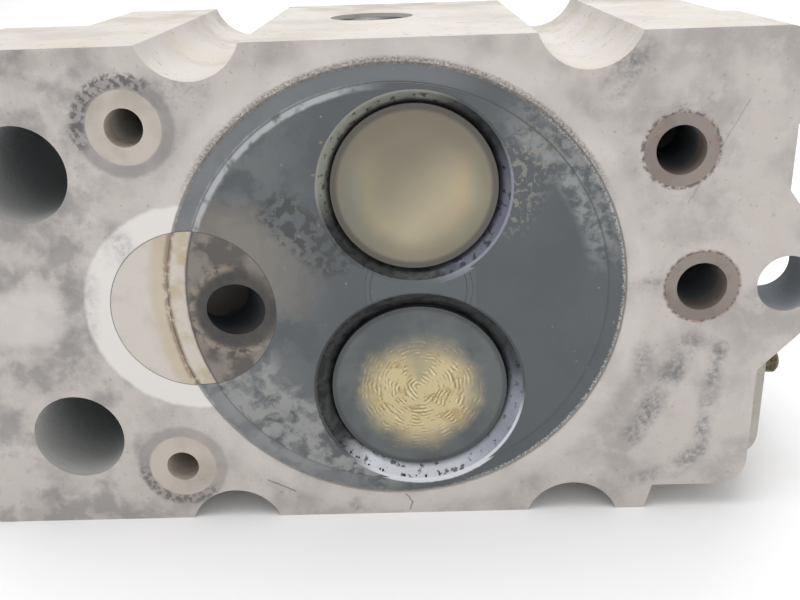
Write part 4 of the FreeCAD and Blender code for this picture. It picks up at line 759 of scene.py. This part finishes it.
def plug_material(circle):
    """Clean cream outside the fire ring, a golden band under it, and soot inside."""
    material, graph, shader = new_material("hot_plug_finish")
    place = graph.place()
    bore = (0.0, 0.0)
    wavy = graph.shaken(place, 0.35, 1.0)
    colour = graph.layer(paint(198, 192, 184), graph.patches(place, 0.12, 0.45, 0.7), paint(184, 176, 166))
    inner = graph.disc(wavy, bore, circle - 3.8, 0.5)
    soot = graph.layer(paint(128, 122, 114), graph.patches(graph.shaken(place, 0.15, 8.0), 0.16, 0.42, 0.6,
                                                           6.0),
                       paint(88, 84, 80))
    throat = (-33.2, -2.3)
    soot = graph.tint(soot, graph.disc(wavy, throat, 9.4, 2.2), 0.85, (54, 52, 50))
    pale = graph.times(graph.ring(wavy, throat, 8.6, 10.2, 0.7), graph.sector(place, throat, 200.0, 110.0))
    soot = graph.tint(soot, graph.times(pale, graph.patches(place, 0.5, 0.42, 0.56)), 0.6, (158, 146, 130))
    colour = graph.tint(colour, graph.ring(wavy, bore, circle - 0.6, circle + 3.4, 1.0), 0.55,
                        (186, 168, 140))
    strip = graph.ring(wavy, bore, circle - 0.7, circle + 0.7, 0.45)
    colour = graph.tint(colour, graph.times(strip, graph.patches(place, 0.6, 0.36, 0.52)), 0.8,
                        (128, 112, 96))
    band = graph.ring(wavy, bore, circle - 4.0, circle - 0.6, 0.4)
    gold = graph.layer(paint(196, 190, 180), graph.patches(place, 0.2, 0.45, 0.7), paint(180, 166, 140))
    colour = graph.layer(colour, band, gold)
    colour = graph.layer(colour, inner, soot)
    colour = graph.tint(colour, graph.ring(place, bore, circle - 4.2, circle - 3.8, 0.12), 0.8, (80, 74, 68))
    # painted shade: the plug's faces deeper than the deck turn dark blue-grey
    deep_shade = graph.span(graph.split(place)[1], 0.6, 3.0)
    colour = graph.layer(colour, deep_shade, paint(62, 66, 72))
    graph.give(shader.inputs["Base Color"], colour)
    graph.give(shader.inputs["Metallic"], graph.number(inner, 0.25, 0.1))
    graph.give(shader.inputs["Roughness"], graph.number(inner, 0.36, 0.55))
    set_bump(graph, shader, graph.group("metal grain", {"Place": place, "Scale": 2.0, "Broad": 0.4}), 0.2,
             0.0002)
    return material


class HEAD_OT_plug(Operator):
    """Finish the hot plug, the drilling sleeves and ferrules, and the core plugs"""
    bl_idname = "head.plug"
    bl_label = "Plugs and drillings"

    def execute(self, context):
        circle = context.scene.head_casting_finish.circle / MM
        dress(["hot_plug"], plug_material(circle))
        rusty = plain_metal("rusty_ferrule", paint(142, 132, 125), paint(140, 110, 94), 0.6, 0.2, 0.45, 1.4,
                            0.5)
        dress(["coolant_ferrules"], rusty)
        scaled = plain_metal("scaled_sleeve", paint(190, 182, 171), paint(158, 136, 118), 0.62, 0.1, 0.35,
                             1.4, 0.4)
        dress(["oil_drilling_sleeves"], scaled)
        bright = plain_metal("bright_core_plug", paint(208, 210, 210), paint(168, 170, 160), 0.22, 1.0, 0.25)
        dress(["core_plug_upper", "core_plug_lower"], bright)
        return {"FINISHED"}


# ---------------------------------------------------------------- rocker side

def both(*pieces):
    return [kind + "_" + piece for piece in pieces for kind in KINDS]


def rocker_side_finishes():
    """Material name, node names, base colour, stain colour, roughness, metalness and wear."""
    return (
        ("pedestal_alloy_finish", ["rocker_pedestal"], paint(190, 188, 184), paint(150, 142, 128), 0.46, 0.6,
         0.35),
        ("forged_steel_finish", both("rocker") + ["injector_clamp"], paint(112, 108, 104), paint(78, 66, 54),
         0.5, 0.8, 0.5),
        ("hardened_steel_finish", ["rocker_shaft", "rocker_thrust_washers", "shaft_circlips"]
         + both("spring_washer", "spring_retainer", "valve_cotters"), paint(150, 148, 144),
         paint(104, 90, 68), 0.26, 1.0, 0.35),
        ("bolt_steel_finish", ["pedestal_bolts", "pedestal_washers", "injector_studs", "injector_nuts"]
         + both("adjuster_screw", "adjuster_nut"), paint(140, 136, 126), paint(96, 84, 66), 0.36, 0.9, 0.45),
        ("bush_bronze_finish", both("rocker_bush", "valve_guide") + ["injector_seal"], paint(184, 146, 88),
         paint(120, 88, 50), 0.34, 1.0, 0.4),
        ("seal_rubber_finish", both("stem_seal"), paint(62, 92, 70), paint(44, 52, 46), 0.75, 0.0, 0.4),
        ("injector_steel_finish", ["injector_body", "injector_nozzle_nut", "glow_plug",
                                   "glow_plug_terminal_nut"],
         paint(156, 154, 146), paint(104, 96, 80), 0.32, 0.95, 0.4),
        ("olive_zinc_finish", ["manifold_studs"], paint(118, 112, 84), paint(84, 76, 58), 0.42, 0.85, 0.5),
    )


class HEAD_OT_rocker_side(Operator):
    """Finish the rockers, shaft, pedestal, fasteners, injector and glow plug"""
    bl_idname = "head.rocker_side"
    bl_label = "Rocker side"

    def execute(self, context):
        for name, nodes, base, stain, rough, metallic, wear in rocker_side_finishes():
            dress(nodes, plain_metal(name, base, stain, rough, metallic, wear))
        return {"FINISHED"}


# ---------------------------------------------------------------- coils: springs and threads

class Modelling:
    """Adds nodes to one geometry tree, with named inputs."""

    def __init__(self, name, inputs):
        self.tree = bpy.data.node_groups.new(name, "GeometryNodeTree")
        self.ids = {}
        self.tree.interface.new_socket("Geometry", in_out="OUTPUT", socket_type="NodeSocketGeometry")
        for label, kind in inputs:
            socket = self.tree.interface.new_socket(label, in_out="INPUT", socket_type="NodeSocket" + kind)
            self.ids[label] = socket.identifier
        self.graph = Graph(self.tree)
        self.given = self.graph.add("NodeGroupInput").outputs

    def finish(self, geometry, material):
        real = self.graph.add("GeometryNodeRealizeInstances", {0: geometry})
        painted = self.graph.add("GeometryNodeSetMaterial",
                                 {"Geometry": real.outputs[0], "Material": material})
        self.graph.add("NodeGroupOutput", {0: painted.outputs[0]})
        return self


def grown(name, modelling, values):
    """Run a geometry tree with these inputs, and give back the plain mesh object it makes."""
    seed = bpy.data.objects.new(name + "_source", bpy.data.meshes.new(name + "_source"))
    bpy.context.scene.collection.objects.link(seed)
    modifier = seed.modifiers.new("grow", "NODES")
    modifier.node_group = modelling.tree
    for label, value in values.items():
        modifier[modelling.ids[label]] = value
    bpy.context.view_layer.update()
    ready = seed.evaluated_get(bpy.context.evaluated_depsgraph_get())
    mesh = bpy.data.meshes.new_from_object(ready)
    bpy.data.objects.remove(seed)
    if not mesh.polygons:
        raise RuntimeError("the geometry tree made nothing for " + name)
    mesh.name = name
    mesh.shade_smooth()
    piece = bpy.data.objects.new(name, mesh)
    bpy.context.scene.collection.objects.link(piece)
    return piece


def coil_tree():
    """A wound wire along Z, closed at both ends, turned and put in its place."""
    coil = Modelling("wound coil", (
        ("Radius", "Float"), ("Height", "Float"), ("Turns", "Float"), ("Wire", "Float"),
        ("Closed turns", "Float"), ("Sides", "Int"), ("Steps", "Int"), ("Turn", "Vector"),
        ("Place", "Vector"), ("Material", "Material")))
    graph, given = coil.graph, coil.given
    spiral = graph.add("GeometryNodeCurveSpiral", {
        "Resolution": given["Steps"], "Rotations": given["Turns"], "Start Radius": given["Radius"],
        "End Radius": given["Radius"], "Height": 0.0})
    share = graph.add("GeometryNodeSplineParameter").outputs["Factor"]
    closed = graph.math("DIVIDE", given["Closed turns"], given["Turns"])
    opened = graph.math("SUBTRACT", 1.0, closed)
    dead = graph.math("MULTIPLY", graph.math("MULTIPLY", given["Wire"], 2.0), given["Closed turns"])
    free = graph.math("SUBTRACT", given["Height"], graph.math("MULTIPLY", dead, 2.0))

    def rise(start, end, amount):
        return graph.add("ShaderNodeMapRange", {0: share, 1: start, 2: end, 3: 0.0, 4: amount}).outputs[0]
    high = graph.math("ADD", rise(0.0, closed, dead), rise(closed, opened, free))
    high = graph.math("ADD", high, rise(opened, 1.0, dead))
    lift = graph.add("ShaderNodeCombineXYZ", {2: high}).outputs[0]
    raised = graph.add("GeometryNodeSetPosition", {"Geometry": spiral.outputs[0], "Offset": lift})
    section = graph.add("GeometryNodeCurvePrimitiveCircle",
                        {"Resolution": given["Sides"], "Radius": given["Wire"]})
    wire = graph.add("GeometryNodeCurveToMesh", {"Curve": raised.outputs[0],
                                                 "Profile Curve": section.outputs[0],
                                                 "Fill Caps": True})
    placed = graph.add("GeometryNodeTransform", {"Geometry": wire.outputs[0], "Translation": given["Place"],
                                                 "Rotation": given["Turn"]})
    return coil.finish(placed.outputs[0], given["Material"])


TREES = {}


def wound_coil():
    """The coil tree, built the first time that it is asked for."""
    if coil_tree.__name__ not in TREES:
        TREES[coil_tree.__name__] = coil_tree()
    return TREES[coil_tree.__name__]


UPRIGHT = (-math.pi / 2, 0.0, 0.0)
SIDEWAYS = (0.0, math.pi / 2, 0.0)


class HEAD_OT_springs(Operator):
    """Wind the inner and outer valve springs"""
    bl_idname = "head.springs"
    bl_label = "Valve springs"

    def execute(self, context):
        wish = context.scene.head_springs
        steel = plain_metal("spring_steel_finish", paint(92, 96, 100), paint(70, 56, 44), 0.34, 0.9, 0.4)
        coil = wound_coil()
        for kind in KINDS:
            for name, wire, turns in (("outer", wish.wire, wish.turns),
                                      ("inner", wish.inner_wire, wish.inner_turns)):
                node = "%s_%s_spring" % (kind, name)
                low, high = (Vector(corner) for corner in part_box(node))
                tall = high.y - low.y
                centre = (low + high) / 2
                piece = grown(node + "_coil", coil, {
                    "Radius": (high.x - low.x) / 2 - wire, "Height": tall - 2 * wire, "Turns": turns,
                    "Wire": wire, "Closed turns": 1.0, "Sides": 12, "Steps": 40, "Turn": UPRIGHT,
                    "Place": (centre.x, low.y + wire, centre.z), "Material": steel})
                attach(piece, "head")
                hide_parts(node)
                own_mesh(piece)
        return {"FINISHED"}


class HEAD_OT_threads(Operator):
    """Cut threads on the manifold studs"""
    bl_idname = "head.threads"
    bl_label = "Stud threads"

    def execute(self, context):
        wish = context.scene.head_threads
        zinc = plain_metal("olive_zinc_thread", paint(128, 122, 94), paint(82, 72, 54), 0.44, 0.85, 0.5)
        coil = wound_coil()
        low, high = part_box("manifold_studs")
        pairs = [mount for mount in frame["record"]["mounts"] if "stud_pair" in mount["name"]]
        start = pairs[0]["pos_m"][0] + wish.pitch
        tall = high[0] - start - wish.pitch
        radius = pairs[0]["dims"]["stud_r_mm"] * MM
        places = []
        for pair in pairs:
            middle_z = pair["pos_m"][2]
            outer_z = math.copysign(high[2] - wish.root, middle_z)
            places.append((low[1] + wish.root, outer_z))
            places.append((high[1] - wish.root, 2 * middle_z - outer_z))
        for number, (up, side) in enumerate(places):
            piece = grown("manifold_stud_thread_%d" % number, coil, {
                "Radius": radius - 0.2 * MM, "Height": tall, "Turns": tall / wish.pitch, "Wire": wish.crest,
                "Closed turns": 0.0, "Sides": 4, "Steps": 24, "Turn": SIDEWAYS,
                "Place": (start, up, side), "Material": zinc})
            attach(piece, "head")
        return {"FINISHED"}


# ---------------------------------------------------------------- carbon crumbs

def crumb_tree():
    """Rough crumbs scattered round a ring in the XZ plane."""
    crumbs = Modelling("carbon crumbs", (
        ("Ring", "Float"), ("Spread", "Float"), ("Count", "Int"), ("Largest", "Float"), ("Seed", "Int"),
        ("Start", "Float"), ("Arc", "Float"), ("Place", "Vector"), ("Material", "Material")))
    graph, given = crumbs.graph, crumbs.given
    line = graph.add("GeometryNodeMeshLine", {"Count": given["Count"], "Offset": (0.0, 0.0, 0.0)})
    order = graph.add("GeometryNodeInputIndex").outputs[0]

    def chance(low, high, step):
        seed = graph.math("ADD", given["Seed"], step)
        node = graph.tree.nodes.new("FunctionNodeRandomValue")
        node.data_type = "FLOAT"
        for socket, value in ((2, low), (3, high), (7, order), (8, seed)):
            graph.give(node.inputs[socket], value)
        return node.outputs[1]
    turn = graph.math("ADD", given["Start"], graph.math("MULTIPLY", chance(0.0, 1.0, 0), given["Arc"]))
    away = graph.math("ADD", given["Ring"], graph.math("MULTIPLY", chance(-1.0, 1.0, 1), given["Spread"]))
    spot = graph.add("ShaderNodeCombineXYZ", {
        0: graph.math("MULTIPLY", away, graph.math("COSINE", turn)), 1: 0.0,
        2: graph.math("MULTIPLY", away, graph.math("SINE", turn))}).outputs[0]
    spot = graph.add("ShaderNodeVectorMath", {0: spot, 1: given["Place"]}, operation="ADD").outputs[0]
    points = graph.add("GeometryNodeSetPosition", {"Geometry": line.outputs[0], "Position": spot})
    crumb = graph.add("GeometryNodeMeshIcoSphere", {"Radius": 1.0, "Subdivisions": 1})
    size = graph.math("MULTIPLY", given["Largest"], graph.math("POWER", chance(0.25, 1.0, 2), 1.6))
    lean = graph.add("ShaderNodeCombineXYZ", {0: chance(0.0, 6.28, 3), 1: chance(0.0, 6.28, 4),
                                              2: 0.0}).outputs[0]
    flat = graph.add("ShaderNodeCombineXYZ", {0: size, 1: graph.math("MULTIPLY", size, 0.6),
                                              2: size}).outputs[0]
    scattered = graph.add("GeometryNodeInstanceOnPoints", {
        "Points": points.outputs[0], "Instance": crumb.outputs[0], "Rotation": lean, "Scale": flat})
    return crumbs.finish(scattered.outputs[0], given["Material"])


class HEAD_OT_carbon(Operator):
    """Scatter carbon crumbs on the seat inserts"""
    bl_idname = "head.carbon"
    bl_label = "Carbon crumbs"

    def execute(self, context):
        wish = context.scene.head_carbon
        coke = plain_metal("carbon_coke", paint(42, 42, 42), paint(86, 80, 70), 0.85, 0.0, 0.35, 3.0, 0.6)
        tree = crumb_tree()
        for kind, start, arc, share in (("exhaust", 190.0, 70.0, 0.35), ("intake", 125.0, 165.0, 1.0)):
            seat = middle(kind + "_seat_insert")
            low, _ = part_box(kind + "_seat_insert")
            ring = (reach(kind + "_seat_insert") + 0.4) * MM
            piece = grown(kind + "_carbon_crumbs", tree, {
                "Ring": ring, "Spread": 0.9 * MM, "Count": max(1, int(wish.count * share)),
                "Largest": wish.size,
                "Seed": wish.seed, "Start": math.radians(start), "Arc": math.radians(arc),
                "Place": (seat.x, max(low[1], 0.0) + 0.25 * MM, seat.z), "Material": coke})
            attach(piece, "head")
        return {"FINISHED"}


# ---------------------------------------------------------------- stage

EYE = Vector((0.00403, -0.17888, 0.07019))
RIGHT = Vector((0.99948, 0.00626, -0.03166))
UP = Vector((0.02711, 0.36939, 0.92888))


def soft_light(name, place, aim, size, power):
    light = bpy.data.lights.new(name, "AREA")
    light.shape = "DISK"
    light.size = size
    light.energy = power
    holder = bpy.data.objects.new(name, light)
    holder.location = place
    holder.rotation_euler = (Vector(aim) - Vector(place)).to_track_quat("-Z", "Y").to_euler()
    bpy.context.scene.collection.objects.link(holder)


def backdrop(wish):
    """Floor that curves up behind the head, in one smooth sheet."""
    low = CAD_BOUNDS[0][2]
    half, front, back, bend, rise, steps = 2.5, -1.6, 1.2, 0.5, 1.6, 16
    line = [(front, low), (back - bend, low)]
    for step in range(1, steps + 1):
        turn = math.pi / 2 * step / steps
        line.append((back - bend + bend * math.sin(turn), low + bend * (1 - math.cos(turn))))
    line.append((back, low + rise))
    corners = [(side, y, z) for y, z in line for side in (-half, half)]
    faces = [(2 * n, 2 * n + 1, 2 * n + 3, 2 * n + 2) for n in range(len(line) - 1)]
    mesh = bpy.data.meshes.new("studio_floor")
    mesh.from_pydata(corners, [], faces)
    mesh.shade_smooth()
    floor = bpy.data.objects.new("studio_floor", mesh)
    bpy.context.scene.collection.objects.link(floor)
    material, graph, shader = new_material("studio_paper")
    tone = graph.noise(graph.place(), 0.004, 2.0)
    pale = tuple(wish.floor)
    graph.give(shader.inputs["Base Color"], graph.layer(pale, graph.times(tone, 0.1),
                                                        tuple(v * 0.95 for v in pale)))
    shader.inputs["Roughness"].default_value = 0.8
    mesh.materials.append(material)


class HEAD_OT_stage(Operator):
    """Set the floor, the lights and the camera"""
    bl_idname = "head.stage"
    bl_label = "Studio"

    def execute(self, context):
        wish = context.scene.head_stage
        backdrop(wish)
        soft_light("overhead", (-0.15, 0.05, 0.8), (0, 0.02, 0), 1.0, wish.key)
        soft_light("front_fill", (0.5, -0.85, 0.08), (0.03, 0, 0), 0.9, wish.key * 0.3)
        soft_light("back_fill", (0.2, 0.75, 0.5), (0, 0.05, 0), 0.8, wish.key * 0.6)
        world = bpy.data.worlds.new("studio_air")
        context.scene.world = world
        world.use_nodes = True
        air = world.node_tree.nodes["Background"]
        air.inputs["Color"].default_value = (1.0, 1.0, 1.0, 1.0)
        air.inputs["Strength"].default_value = 0.68
        context.scene.view_settings.view_transform = "Standard"
        camera = bpy.data.cameras.new("camera")
        camera.lens = wish.lens
        camera.sensor_width = 36.0
        camera.clip_start = 0.01
        holder = bpy.data.objects.new("camera", camera)
        back = RIGHT.cross(UP)
        turn = Matrix((RIGHT, back.cross(RIGHT), back)).transposed().normalized()
        holder.matrix_world = Matrix.Translation(EYE) @ turn.to_4x4()
        context.scene.collection.objects.link(holder)
        context.scene.camera = holder
        return {"FINISHED"}


class HEAD_PT_panel(Panel):
    """Lists the head's sizes and its steps"""
    bl_label = "Cylinder head"
    bl_idname = "HEAD_PT_panel"
    bl_space_type = "VIEW_3D"
    bl_region_type = "UI"
    bl_category = "Cylinder head"

    def draw(self, context):
        for name, kind in SETTINGS.items():
            box = self.layout.box()
            for size in kind.__annotations__:
                box.prop(getattr(context.scene, name), size)
        for step in STEPS:
            self.layout.operator(step.bl_idname)


STEPS = (HEAD_OT_stage, HEAD_OT_casting, HEAD_OT_valves, HEAD_OT_plug, HEAD_OT_rocker_side,
         HEAD_OT_springs, HEAD_OT_threads, HEAD_OT_carbon)


def register():
    for kind in (*SETTINGS.values(), *STEPS, HEAD_PT_panel):
        bpy.utils.register_class(kind)
    for name, kind in SETTINGS.items():
        setattr(bpy.types.Scene, name, PointerProperty(type=kind))


def unregister():
    for name in SETTINGS:
        delattr(bpy.types.Scene, name)
    for kind in (HEAD_PT_panel, *reversed(STEPS), *reversed(tuple(SETTINGS.values()))):
        bpy.utils.unregister_class(kind)


def main():
    register()
    for step in STEPS:
        family, action = step.bl_idname.split(".")
        getattr(getattr(bpy.ops, family), action)()


if __name__ == "__main__":
    main()
